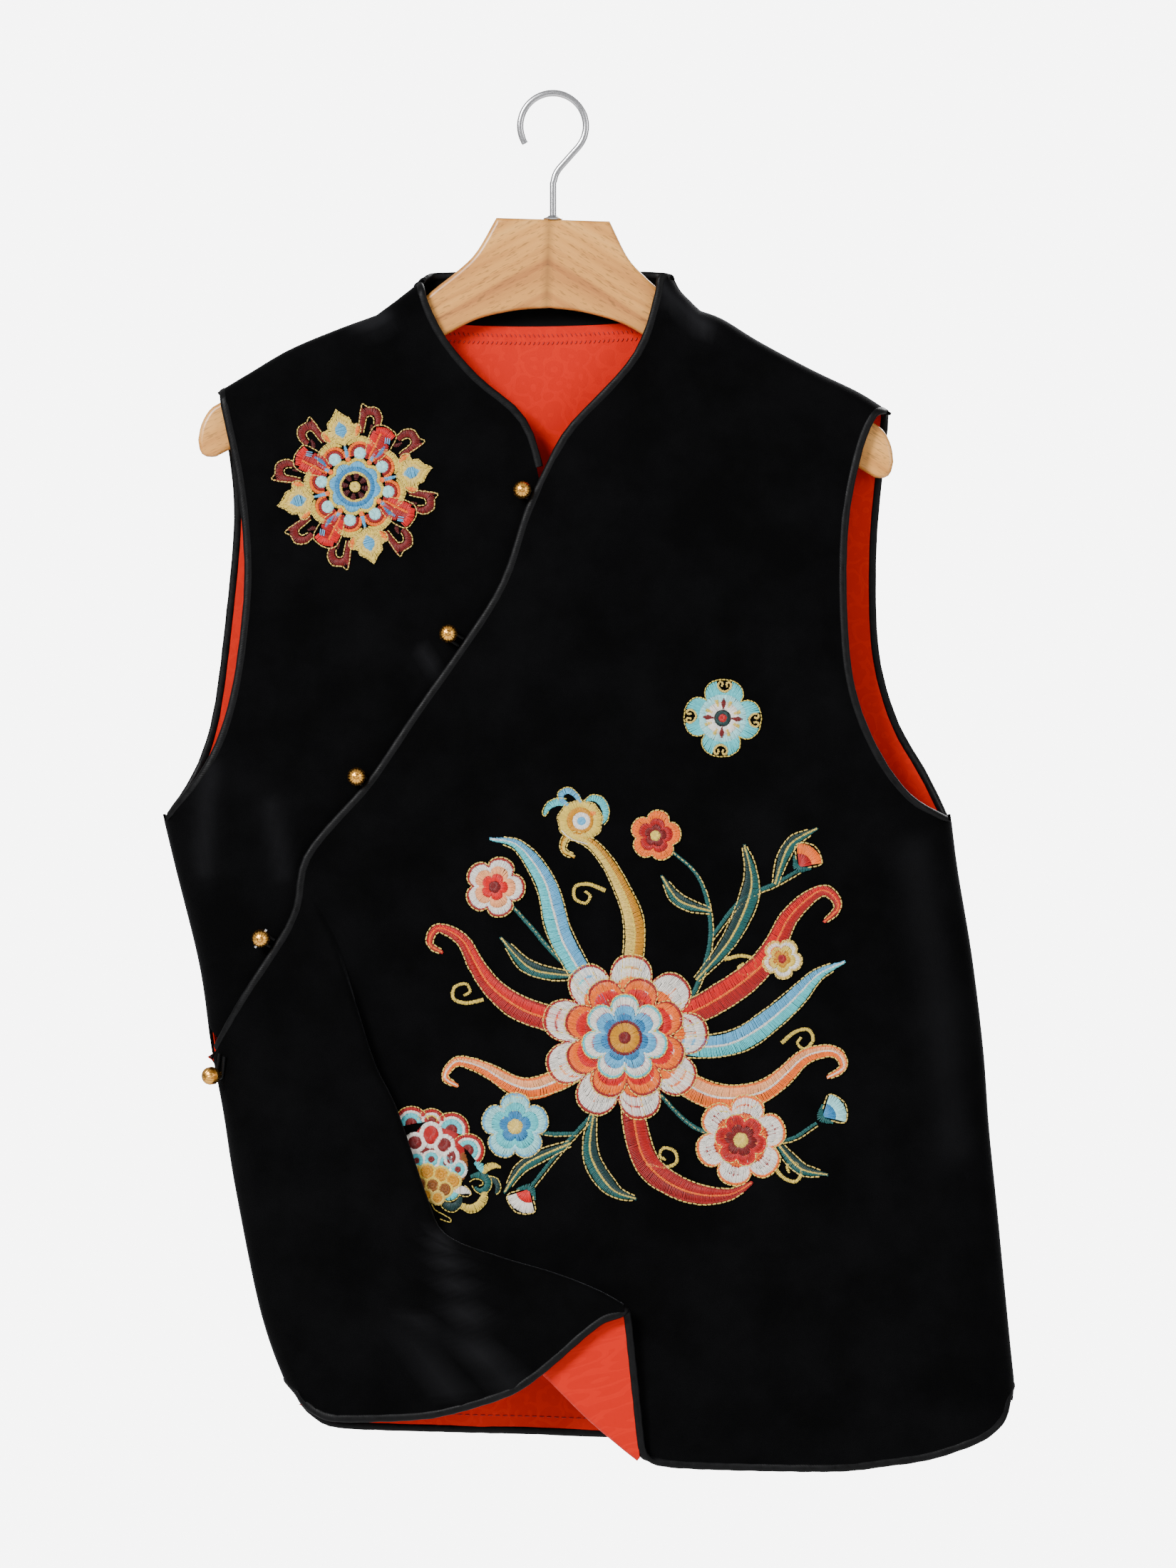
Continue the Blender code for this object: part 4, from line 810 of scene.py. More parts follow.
def foldRows(count):
    rows = sample(smooth(fold["rows"]), np.linspace(0, 1, count))
    rows[:, 3] = np.maximum(rows[:, 3], 0)
    aim = np.radians(rows[:, 2])
    way = np.stack([np.cos(aim), -np.sin(aim)], axis=1)
    doubled, rise = rows[:, 3], fold["rise"]
    turn = np.where(
        doubled < rise, doubled / rise * math.pi / 2,
        math.pi - np.arcsin(np.minimum(rise / np.maximum(doubled, rise), 1)),
    )
    start = rows[:, :2] - way * (fold["outerTurn"] * np.sin(np.minimum(turn, math.pi / 2)))[:, None]
    return start, way, doubled, turn


def foldProfile(doubled, turn):
    outer, inner = fold["outerTurn"], fold["innerTurn"]
    turns = np.linspace(0, turn, fold["turnSteps"] + 1)
    profile = [(outer * math.sin(q), outer * (1 - math.cos(q))) for q in turns]
    across, fall = profile[-1]
    for part in np.linspace(0, 1, detail["layerSteps"] + 1)[1:]:
        profile.append((across + part * doubled * math.cos(turn), fall + part * doubled * math.sin(turn)))
    across, fall = profile[-1]
    for q in turns[::-1][1:]:
        profile.append(
            (
                across + inner * (math.sin(turn) - math.sin(q)), fall + inner * (math.cos(q) - math.cos(turn)),
            )
        )
    return np.array(profile)


def keyed(curves, counts):
    return join(*[sample(curve, np.linspace(0, 1, count + 1)) for curve, count in zip(curves, counts)])


foldStart, foldWay, foldDoubled, foldTurn = foldRows(detail["foldRows"] + 1)


def overFrontGrids():
    start, way, doubled, turn = foldStart.copy(), foldWay, foldDoubled, foldTurn
    edge = shifted(join(smooth(edges["overNeck"]), slantCurve), cloth["bound"])
    edge = edge[edge[:, 1] > topCorners["right"][0][1]]
    above = edge[edge[:, 1] < fold["start"]]
    below = edge[edge[:, 1] >= fold["start"]]
    start[0] = below[0]
    above = np.vstack([topCorners["right"][:1], above, start[:1]])
    profiles = [foldProfile(d, t) for d, t in zip(doubled, turn)]
    under = np.array([a + w * p[-1, 0] for a, w, p in zip(start, way, profiles)])
    under[0] = start[0]

    armhole = trimmed(shifted(smooth(edges["rightArmholeFront"]), -cloth["bound"]), seamLines["right"])
    hem = trimmed(shifted(smooth(edges["rightHem"]), cloth["bound"]), seamLines["right"], first=False)
    side = between(sideCurves["right"], armhole[-1], hem[-1])
    high = side[side[:, 1] < overPanel["highSide"]]
    outer = join(armhole, high)
    rows = refined(rowFractions(lengths(outer)[-1], lengths(armhole)[-1], 10, 2), detail["rows"])
    outerUp, leftUp = sample(outer, rows), sample(above, rows)
    outerDown = sample(side[len(high) - 1:], np.linspace(0, 1, detail["foldRows"] + 1))
    hem[0] = under[-1]
    hem = sample(hem, fine["wide"])
    corners = np.array(topCorners["right"])
    collarPart = between(smooth(edges["rightCollar"]), corners[1], edges["rightShoulder"][0])
    shoulder = keyed([corners, collarPart], [2 * detail["columns"]] * 2)
    seam = between(smooth(edges["rightShoulder"]), edges["rightShoulder"][0], armhole[0])
    shoulder = join(shoulder, sample(seam, fine["shoulder"]))
    leftAll, outerAll = np.vstack([leftUp, under[1:]]), np.vstack([outerUp, outerDown[1:]])
    down = lengths(outerAll)
    rightGrid = patch(shoulder, hem, leftAll, outerAll, down / down[-1])
    count = len(rows)
    rightUp, rightDown = rightGrid[:count], rightGrid[count - 1:]

    slant = sample(below, 1 - (1 - np.linspace(0, 1, detail["rowsToSide"] + 1)) ** overPanel["rowEasing"])
    hemLeft = trimmed(shifted(smooth(edges["leftHem"]), cloth["bound"]), seamLines["left"], last=False)
    side = between(sideCurves["left"], below[-1] + overPanel["sideStart"], hemLeft[0])
    hemLeft[-1] = start[-1]
    hemLeft = sample(hemLeft, fine["left"])
    side = np.vstack([slant[-1:], side])
    leftEdge = join(slant, sample(side, np.linspace(0, 1, detail["foldRows"] - detail["rowsToSide"] + 1)))
    top = np.repeat(start[:1], len(fine["left"]), axis=0)
    down = lengths(leftEdge)
    leftGrid = patch(top, hemLeft, leftEdge, start, down / down[-1])

    upper, right, left = [lift(grid, "front", over=True) for grid in (rightUp, rightDown, leftGrid)]
    topOfFold = np.array([p[-1, 1] for p in profiles]) - right[:, 0, 1]
    missing = topOfFold + left[:, -1, 1]
    left[:, :, 1] -= missing[:, None] * step(np.array(fine["left"])) ** overPanel["fallEasing"]
    band = []
    for row, profile in enumerate(profiles):
        flat = start[row] + way[row] * profile[:, :1]
        band.append(np.stack([flat[:, 0], profile[:, 1] - topOfFold[row], -flat[:, 1]], axis=1))
    band = np.array(band)
    band[0] = left[0] = upper[-1, 0]
    band[:, 0] = left[:, -1]
    band[:, -1] = right[:, 0]
    return upper, np.concatenate([left, band[:, 1:], right[:, 1:]], axis=1)


def underFrontGrid():
    neck = shifted(smooth(edges["underNeck"]), -cloth["bound"])
    neck = neck[neck[:, 1] > topCorners["left"][1]]
    hidden = shifted(slantCurve, cloth["underlap"])
    drop, across = underPanel["hiddenFrom"]
    hidden = hidden[(hidden[:, 1] > drop) & (hidden[:, 0] > across)]
    hidden = smooth(sample(hidden, np.linspace(0, 1, 6)))
    bend = smooth([neck[-1], underPanel["bend"], hidden[0]])
    inner = join(np.vstack([[topCorners["left"]], neck]), bend, hidden)
    armhole = trimmed(shifted(smooth(edges["leftArmholeFront"]), cloth["bound"]), seamLines["left"])
    side = between(sideCurves["left"], armhole[-1], underPanel["end"])
    drop, over = underPanel["tuckFrom"]
    tuck = underPanel["tuck"] * step((side[:, 1] - drop) / over)
    outer = join(armhole, side + np.stack([tuck, np.zeros_like(tuck)], axis=1))
    rows = refined(rowFractions(lengths(outer)[-1], lengths(armhole)[-1], 9, 8), detail["rows"])
    outer, inner = sample(outer, rows), sample(inner, rows)
    shoulder = edges["leftShoulder"]
    collarPart = between(smooth(edges["leftCollar"])[::-1], shoulder[0], topCorners["left"])
    seam = between(smooth(shoulder)[::-1], armhole[0], shoulder[0])
    top = keyed([seam, collarPart], [5, 2])
    top = join(sample(top[:2], (0, 0.08, 0.35, 1)), top[1:])
    top = np.stack([np.interp(fine["right"], columns["right"], top[:, k]) for k in (0, 1)], axis=1)
    bottom = sample(np.array([outer[-1], inner[-1]]), fine["right"])
    down = lengths(outer)
    grid = patch(top, bottom, outer, inner, down / down[-1])
    return lift(grid, "front"), (detail["armRows"] - 1) * detail["rows"] + 1


def backGrid():
    hem = shifted(smooth(edges["backHem"]), cloth["bound"])
    hem = trimmed(trimmed(hem, seamLines["left"], last=False), seamLines["right"], first=False)
    sides, seams = [], []
    for name, sign, end in (("left", 1, hem[0]), ("right", -1, hem[-1])):
        shoulder = edges[name + "Shoulder"]
        edge = trimmed(shifted(smooth(edges[name + "ArmholeBack"]), sign * cloth["bound"]), seamLines[name])
        outer = join(edge, between(sideCurves[name], edge[-1], end))
        sides.append(
            sample(
                outer, refined(rowFractions(lengths(outer)[-1], lengths(edge)[-1], 9, 10), detail["rows"]),
            )
        )
        seam = between(smooth(shoulder), shoulder[0], edge[0])
        seams.append(sample(seam, refined((0, 0.3, 0.6, 0.88, 0.97, 1), detail["columns"])))
    hem = sample(hem, fine["back"])
    top = join(seams[0][::-1], sample(smooth(edges["backNeck"]), fine["neck"]), seams[1])
    down = lengths(sides[0])
    grid = patch(top, hem, sides[0], sides[1], down / down[-1])
    return lift(grid, "back"), (detail["armRows"] - 1) * detail["rows"] + 1


def collarGrid():
    rows = np.linspace(0, 1, detail["collarRows"])
    top = sample(smooth(edges["collarTop"]), fine["neck"])
    neck = sample(smooth(edges["backNeck"]), fine["neck"]) + (0, 2 * cloth["gap"])
    left = sample(between(smooth(edges["leftCollar"]), top[0], neck[0]), rows)
    right = sample(between(smooth(edges["rightCollar"]), top[-1], neck[-1]), rows)
    return lift(patch(top, neck, left, right, rows), "back")


def lengthened(edge, inner, first, last):
    before, after = unit(edge[:1] - edge[1:2]) * first, unit(edge[-1:] - edge[-2:-1]) * last
    return [np.vstack([line[:1] + before, line, line[-1:] + after]) for line in (edge, inner)]


def panel(name, sheet):
    # The velvet and the lining of one panel, each standing for its solid.
    depths = (
        (name, 0, cloth["velvet"], "velvet"),
        (name + "_lining", cloth["velvet"] + cloth["gap"], cloth["stack"], "lining"),
    )
    for nodeName, near, far, finish in depths:
        piece = wall(nodeName + "_cloth", sheet, near, far, finishes[finish])
        place(piece, finish, nodeName)


def place(piece, slotName, *nodes):
    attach(piece, "root")
    if nodes:
        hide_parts(*nodes)


def hemBinding(grid, sheet):
    turned = len(fine["left"]) + fold["turnSteps"] + detail["layerSteps"] - 1
    folded, straight = slice(0, turned + 1), slice(turned + fold["turnSteps"] + 2, None)
    first, last = [rodPath(grid[-1, part], grid[-2, part], sheet) for part in (folded, straight)]
    skip = fold["cornerSkip"]
    centre = np.vstack([first[0], fold["corner"], last[0][skip:]])
    high = np.vstack([first[2], fold["cornerHigh"], last[2][skip:]])
    path = sample(np.hstack([centre, high]), np.linspace(0, 1, fold["hemSteps"]))
    for _ in range(fold["hemRounds"]):
        path[1:-1] = (path[:-2] + 2 * path[1:-1] + path[2:]) / 4
    centre, high = path[:, :3], unit(path[:, 3:])
    run = heading(centre)
    wide = unit(np.cross(run, high))
    satinRod("front_hem_binding", centre, wide, np.cross(wide, run), "front")


upper, lower = overFrontGrids()
overFront = sheetOf([upper, lower], "front", over=True)
panel("left_front", overFront)
reach = detail["rowsToSide"] + 1
edge, inner = np.vstack([upper[:, 0], lower[1:reach, 0]]), np.vstack([upper[:, 1], lower[1:reach, 1]])
binding("front_edge_binding", edge, inner, overFront, 1.4)
hemBinding(lower, overFront)
arm = slice(0, detail["armRows"] * detail["rows"] + 1)
binding("left_armhole_binding_front", upper[arm, -1], upper[arm, -2], overFront, last=7.0)

underGrid, armRows = underFrontGrid()
arm = slice(0, armRows)
underFront = sheetOf([underGrid], "front")
panel("right_front", underFront)
neckPart = underGrid[underGrid[:, -1, 2] > -topCorners["crossing"]]
binding("right_neck_binding", neckPart[:, -1], neckPart[:, -2], underFront, 3.0)
binding("right_armhole_binding_front", underGrid[arm, 0], underGrid[arm, 1], underFront, last=7.0)

rearGrid, armRows = backGrid()
arm = slice(0, armRows)
rear = sheetOf([rearGrid], "back")
panel("back", rear)
binding("back_hem_binding", rearGrid[-1], rearGrid[-2], rear)
binding("right_armhole_binding_back", rearGrid[arm, 0], rearGrid[arm, 1], rear, last=5.0)
binding("left_armhole_binding_back", rearGrid[arm, -1], rearGrid[arm, -2], rear, last=5.0)

collarCut = collarGrid()
collar = sheetOf([collarCut], "back")
piece = wall("collar_cloth", collar, 0, cloth["collarWall"], finishes["velvet"])
place(piece, "velvet", "collar")
binding("collar_binding", collarCut[0], collarCut[1], collar, 0.6, 0.6, cloth["collarWall"])

# The turned-in cloth along a seam; the photo-left side is open below the last drop
seamRolls = {"radius": 0.9, "inset": 1.0, "steps": 90, "sides": 8, "slit": 560}


def seamRoll(name, line, inward):
    steps, radius = seamRolls["steps"], seamRolls["radius"]
    flat = sample(smooth(line), np.linspace(0, 1, steps)) + np.array(inward) * seamRolls["inset"]
    centre = np.stack([flat[:, 0], np.zeros(steps), -flat[:, 1]], axis=1)
    run = heading(centre)
    high = np.tile((0.0, 1.0, 0.0), (steps, 1))
    wide = unit(np.cross(run, high))
    place(sweep(name, centre, wide, high, radius, radius, finishes["velvet"], ring=seamRolls["sides"]), "velvet")


for side in ("left", "right"):
    seamRoll(side + "_shoulder_seam", edges[side + "Collar"] + edges[side + "Shoulder"][1:], (0, 1))
seamRoll("left_side_seam", [point for point in edges["leftSide"] if point[1] < seamRolls["slit"]], (1, 0))
seamRoll("right_side_seam", edges["rightSide"], (-1, 0))
print("stage: panels and bindings ready")


# ---- hanger, hook, buttons and loops

def makeHanger():
    # Top and underside of one half, with as many steps each, mirrored to the whole bar.
    top, under = smooth(hanger["top"], 6), smooth(hanger["under"], 6)
    head, arm = hanger["headSteps"], hanger["armSteps"]
    top = np.vstack([np.linspace((0, 0), top[0], head + 1)[:-1], sample(top, np.linspace(0, 1, arm + 1))])
    under = sample(under, np.linspace(0, 1, head + arm + 1))
    tops, unders = [np.vstack([line[:0:-1] * (-1, 1), line]) for line in (top, under)]
    ring = np.vstack([tops, unders[-2:0:-1]])
    closed = np.vstack([ring[-1:], ring, ring[:1]])
    run = heading(closed)[1:-1]
    inward = -aside(run)
    radius, halfThick = hanger["edgeRound"], hanger["thick"] / 2
    turns = np.linspace(0, math.pi / 2, hanger["roundSteps"] + 1)
    layers = [(radius * (1 - math.sin(q)), -halfThick + radius * (1 - math.cos(q))) for q in turns]
    layers += [(inset, -y) for inset, y in reversed(layers)]
    points = np.vstack([np.column_stack([*(ring + inward * inset).T, np.full(len(ring), y)]) for inset, y in layers])
    c, s = math.cos(hanger["tilt"]), math.sin(hanger["tilt"])
    x, z = points[:, 0], -points[:, 1]
    placed = np.column_stack([x * c + z * s, points[:, 2], -x * s + z * c - hanger["headDrop"]])
    count, total = len(ring), len(layers)
    last, faces = len(tops) - 1, []
    for base in (0, (total - 1) * count):
        below = [base] + [base + count - i for i in range(1, last)] + [base + last]
        for i in range(last):
            face = [base + i, base + i + 1, below[i + 1], below[i]]
            faces.append([p for k, p in enumerate(face) if p != face[k - 1]])
    for layer in range(total - 1):
        low, high = layer * count, (layer + 1) * count
        faces += [[low + k, low + (k + 1) % count, high + (k + 1) % count, high + k] for k in range(count)]
    piece = newObject("hanger_wood", placed, faces, finishes["beech"], 32)
    pointOutwards(piece)
    place(piece, "beech", "hanger")


hook = {
    "wire": 3.8, "inside": 34.0, "start": -40, "end": 212, "steps": 60,
    "stem": [(0, -70.7), (0, -60), (0, -50), (2.2, -43.4), (8.0, -36.4)],
}


def makeHook():
    radius = (hook["inside"] + hook["wire"]) / 2
    turns = np.radians(np.linspace(hook["start"], hook["end"], hook["steps"]))
    arc = np.stack([radius * np.cos(turns), radius * np.sin(turns) - hook["inside"] / 2], axis=1)
    bend = smooth(np.vstack([hook["stem"][2:], arc[:4]]), 4)[:-12]
    path = np.vstack([hook["stem"][:2], bend, arc[1:]])
    run = heading(path)
    centre = np.stack([path[:, 0], np.zeros(len(path)), path[:, 1]], axis=1)
    wide = np.stack([run[:, 1], np.zeros(len(path)), -run[:, 0]], axis=1)
    wide[0] = (1, 0, 0)
    high = np.tile((0.0, 1.0, 0.0), (len(path), 1))
    piece = sweep("hook_wire", centre, wide, high, hook["wire"] / 2, hook["wire"] / 2, finishes["steel"], ring=20)
    place(piece, "steel", "hook")
    # A small collar where the wire goes into the wood.
    profile = [(0, 0), (5.2, 0), (5.6, 0.5), (5.2, 1.1), (3.4, 1.5), (2.6, 2.4), (0, 2.4)]
    seat = np.array((0.0, 0.0, -hanger["headDrop"] + 0.05))
    ferrule = turned("hook_ferrule", profile, seat, np.array((0.0, 0.0, 1.0)), 32, finishes["steel"])
    place(ferrule, "steel")


def turned(name, profile, base, axis, steps, material, shape=None):
    # A closed turned body from (radius, height) pairs, pole to pole; shape may move a point in or out.
    axis = unit(np.asarray(axis, float))
    side = unit(np.cross(axis, (0.0, 0.3, 1.0)) if abs(axis[2]) < 0.95 else np.cross(axis, (0.0, 1.0, 0.0)))
    other = np.cross(axis, side)
    points, rings, relief = [], [], []
    for radius, height in profile:
        first = len(points)
        if radius == 0:
            points.append(base + axis * height)
            relief.append(shape(0, height)[1] if shape else 0)
        else:
            for k in range(steps):
                turn = 2 * math.pi * k / steps
                grow, carved = shape(turn, height) if shape else (0, 0)
                reach = radius + grow
                points.append(base + axis * height + reach * (side * math.cos(turn) + other * math.sin(turn)))
                relief.append(carved)
        rings.append(list(range(first, len(points))))
    faces = []
    for low, high in zip(rings, rings[1:]):
        for k in range(steps):
            n = (k + 1) % steps
            around = [low[k % len(low)], low[n % len(low)], high[n % len(high)], high[k % len(high)]]
            faces.append([p for i, p in enumerate(around) if p != around[i - 1]])
    piece = newObject(name, np.array(points), faces, material, 50)
    pointLayer(piece, "relief", relief)
    pointOutwards(piece)
    return piece


button = {
    "ball": 10.6, "shank": 2.6, "shankLength": 2.4, "petals": 8, "carving": 0.34, "loopWire": 1.6,
    "pinned": 4, "pinOut": 0.9, "pinRadius": 0.8, "pinSteps": 8,
    "places": [
        (-17.6, 227.4, -26, 5.2), (-59.9, 309.9, -32, 8.7), (-112.3, 391.4, -34, 5.8),
        (-166.5, 482.9, -32, 7.2), (-190.0, 561.6, 60, 12.0),
    ],
}


def makeButtons():
    radius = button["ball"] / 2
    start = math.asin(button["shank"] / button["ball"])
    middle = button["shankLength"] + radius

    def carve(turn, height):
        # A flower cut round a boss at the front, and a plain band at the girth
        polar = math.acos(max(-1, min(1, (height - middle) / radius)))
        if polar > 1.75:
            return 0.0, 0.85
        if polar < 0.26:
            return 0.0, 1.0
        petal = abs(math.cos(button["petals"] / 2 * turn)) ** 0.7
        edge = 0.35 + 0.75 * petal
        inside = min(1.0, max(0.0, (0.35 + edge - polar) / 0.12))
        vein = 1 - 0.8 * math.exp(-((petal - 1) / 0.012) ** 2) * inside
        ring = 1 - math.exp(-((polar - 0.32) / 0.06) ** 2)
        girth = 1 - 0.7 * math.exp(-((polar - 1.45) / 0.05) ** 2)
        value = (0.45 + 0.55 * inside) * vein * ring * girth
        return button["carving"] * (value - 1), value

    for number, (x, drop, way, reach) in enumerate(button["places"], 1):
        seat, out = onFace([(x, drop)], "front", number == len(button["places"]))
        seat, out = seat[0], out[0]
        arc = np.linspace(math.pi - start, 0, 30)
        profile = [(0, cloth["gap"]), (button["shank"] / 2, cloth["gap"])]
        profile += [(radius * math.sin(q), middle + radius * math.cos(q)) for q in arc[:-1]] + [(0, middle + radius)]
        piece = turned(f"button_{number}_ball", profile, seat, out, 64, finishes["gold"], carve)
        place(piece, "gold", f"button_{number}")
        along = np.array([math.cos(math.radians(way)), 0, math.sin(math.radians(way))])
        along = unit(along - out * (along @ out))
        across = np.cross(out, along)
        if number == button["pinned"]:
            steps, thick = button["pinSteps"], button["pinRadius"]
            pin = seat + out * middle + across * np.linspace(-1, 1, steps)[:, None] * (radius + button["pinOut"])
            ways = [np.repeat(direction[None], steps, axis=0) for direction in (along, out)]
            place(sweep("button_4_pin", pin, *ways, thick, thick, finishes["steel"], ring=10), "steel")
        wire = button["loopWire"]
        bendRadius = (button["shank"] + wire) / 2 + cloth["gap"]
        turns = np.linspace(-math.pi / 2, -3 * math.pi / 2, 7)
        legs = [along * reach - across * bendRadius]
        legs += [along * bendRadius * math.cos(q) + across * bendRadius * math.sin(q) for q in turns]
        legs += [along * reach + across * bendRadius]
        centre = smooth(seat + out * (cloth["gap"] + wire / 2) + np.array(legs), 6)
        run = heading(centre)
        wide = unit(np.cross(run, out))
        high = np.repeat(out[None], len(centre), axis=0)
        cord = sweep(
            f"loop_{number}_cord", centre, wide, high, wire / 2, wire / 2, finishes["binding"], ring=10, ripple=0.05,
        )
        place(cord, "binding", f"loop_{number}")


makeHanger()
makeHook()
makeButtons()
print("stage: hanger, hook and buttons ready")


# ---- embroidery: every stitch is a short thread with a colour, laid on the face of the velvet

stitching = {
    "seed": 28, "threadRadius": 0.36, "sides": 4, "pitch": 0.62, "dash": 1.35, "dashGap": 0.75,
    "arch": 0.42, "archShare": 0.2, "lift": 0.12, "level": 0.28, "jitter": 0.09, "ragged": 0.45, "shortest": 0.35,
    "foldInset": 0.5, "vivid": 1.18, "deep": 1.3, "uneven": (0.86, 1.1),
    # the spray's coarser stitches
    "broad": {"pitch": 0.8, "dash": 1.9, "dashGap": 1.0}, "broadRadius": 0.43,
}
random = np.random.default_rng(stitching["seed"])
dyes = {
    "cream": (226, 205, 128), "gold": (208, 160, 62), "goldLight": (226, 204, 138), "brown": (150, 100, 42),
    "sky": (132, 188, 218), "skyDeep": (92, 150, 190), "cyan": (128, 208, 214), "cyanPale": (182, 226, 228),
    "maroon": (134, 8, 44), "wine": (104, 8, 36), "red": (182, 26, 4), "orange": (214, 56, 10), "rust": (166, 42, 14),
    "peach": (238, 142, 92), "peachPale": (244, 188, 150), "white": (236, 232, 226),
    "teal": (26, 74, 74), "tealLight": (
        52, 112, 110,
    ),
}


def dyed(rgb):
    # The dye as a linear colour, a little deeper and stronger than it looks under the lamps.
    value = ((np.array(rgb) / 255 + 0.055) / 1.055) ** (2.4 * stitching["deep"])
    middle = value.mean()
    return np.clip(middle + (value - middle) * stitching["vivid"], 0.0005, 1)


linear = {name: dyed(rgb) for name, rgb in dyes.items()}


def polar(radius, degrees):
    # A point at this distance and this angle, clockwise from straight up.
    turn = np.radians(degrees)
    return np.stack([radius * np.sin(turn), -radius * np.cos(turn)], axis=-1)


def sew(bag, a, b, dye, level):
    # Adds stitches from points a to points b, with a little unevenness at their ends.
    a, b = np.atleast_2d(a).astype(float), np.atleast_2d(b).astype(float)
    jitter = random.normal(0, stitching["jitter"], (2, *a.shape))
    bag.append((a + jitter[0], b + jitter[1], dye, level))


def smoothed(points):
    return smooth(points) if len(points) > 2 else np.array(points, float)


def satin(bag, spine, widths, dye, level=0):
    # Close stitches across a line, as wide as the widths given along it.
    line = smoothed(spine)
    count = max(3, int(lengths(line)[-1] / stitching["pitch"]))
    at = np.linspace(0, 1, count)
    line = sample(line, at)
    wide = np.interp(at, np.linspace(0, 1, len(widths)), widths)[:, None] / 2
    across = aside(heading(line)) * wide
    sew(bag, line - across, line + across, dye, level)


def fan(bag, centre, first, last, rings, dyeNames, level=0):
    # Stitches that radiate from a centre, in zones between the rings. A ring is a number or a rule of the angle.
    centre = np.array(centre, float)
    rules = [ring if callable(ring) else (lambda q, value=ring: np.full_like(q, value)) for ring in rings]
    for inner, outer, dye in zip(rules, rules[1:], dyeNames):
        span = math.radians(last - first) * float(np.mean(outer(np.linspace(first, last, 60))))
        angles = np.linspace(first, last, max(4, int(span / stitching["pitch"])))
        low, high = inner(angles), outer(angles)
        ragged = np.zeros((2, len(angles)))
        if len(rings) > 2:
            ragged = random.uniform(-stitching["ragged"], stitching["ragged"], ragged.shape)
        keep = high - low > stitching["shortest"]
        a, b = centre + polar(low + np.abs(ragged[0]) * 0.3, angles), centre + polar(high + ragged[1] * 0.5, angles)
        sew(bag, a[keep], b[keep], dye, level)


def disc(bag, centre, rings, dyeNames, level=0):
    fan(bag, centre, 0, 360, rings, dyeNames, level)


def dashes(bag, path, dye="goldLight", level=2):
    # A running stitch along a line.
    line = smoothed(path)
    total, dash, gap = lengths(line)[-1], stitching["dash"], stitching["dashGap"]
    count = max(1, round(total / (dash + gap)))
    starts = np.arange(count) * total / count
    a, b = sample(line, starts / total), sample(line, (starts + total / count * dash / (dash + gap)) / total)
    sew(bag, a, b, dye, level)


def ringOf(centre, radii, first=0, last=360, steps=72):
    angles = np.linspace(first, last, steps + 1)
    reach = radii(angles) if callable(radii) else np.full_like(angles, radii)
    return np.array(centre, float) + polar(reach, angles)


def rotated(points, degrees, centre=(0, 0)):
    turn = math.radians(degrees)
    c, s = math.cos(turn), math.sin(turn)
    p = np.asarray(points, float)
    return np.stack([p[..., 0] * c - p[..., 1] * s, p[..., 0] * s + p[..., 1] * c], axis=-1) + np.array(centre)


def moved(bag, degrees=0, centre=(0, 0), scale=1.0, flip=1):
    # A copy of some stitches, turned and put somewhere else.
    way = np.array((flip, 1)) * scale
    return [
        (rotated(a * way, degrees, centre), rotated(b * way, degrees, centre), dye, level)
        for a, b, dye, level in bag
    ]


def stitchTree():
    tree = bpy.data.node_groups.new("stitchThreads", "GeometryNodeTree")
    for name, way, kind in (
        ("Geometry", "INPUT", "Geometry"), ("threadRadius", "INPUT", "Float"), ("sides", "INPUT", "Int"),
        ("finish", "INPUT", "Material"), ("Geometry", "OUTPUT", "Geometry"),
    ):
        tree.interface.new_socket(name, in_out=way, socket_type="NodeSocket" + kind)
    given, result = tree.nodes.new("NodeGroupInput"), tree.nodes.new("NodeGroupOutput")
    profile = node(tree, "GeometryNodeCurvePrimitiveCircle", [("Radius", given.outputs["threadRadius"])])
    tree.links.new(given.outputs["sides"], profile.inputs["Resolution"])
    paths = node(tree, "GeometryNodeMeshToCurve", [(0, given.outputs["Geometry"])])
    tubes = node(
        tree, "GeometryNodeCurveToMesh", [("Curve", paths.outputs[0]), ("Profile Curve", profile.outputs[0])],
    )
    tubes.inputs["Fill Caps"].default_value = True
    soft = node(tree, "GeometryNodeSetShadeSmooth", [(0, tubes.outputs[0])])
    real = node(tree, "GeometryNodeRealizeInstances", [(0, soft.outputs[0])])
    dressed = node(tree, "GeometryNodeSetMaterial", [(0, real.outputs[0]), ("Material", given.outputs["finish"])])
    tree.links.new(dressed.outputs[0], result.inputs[0])
    return tree


threadTree = stitchTree()


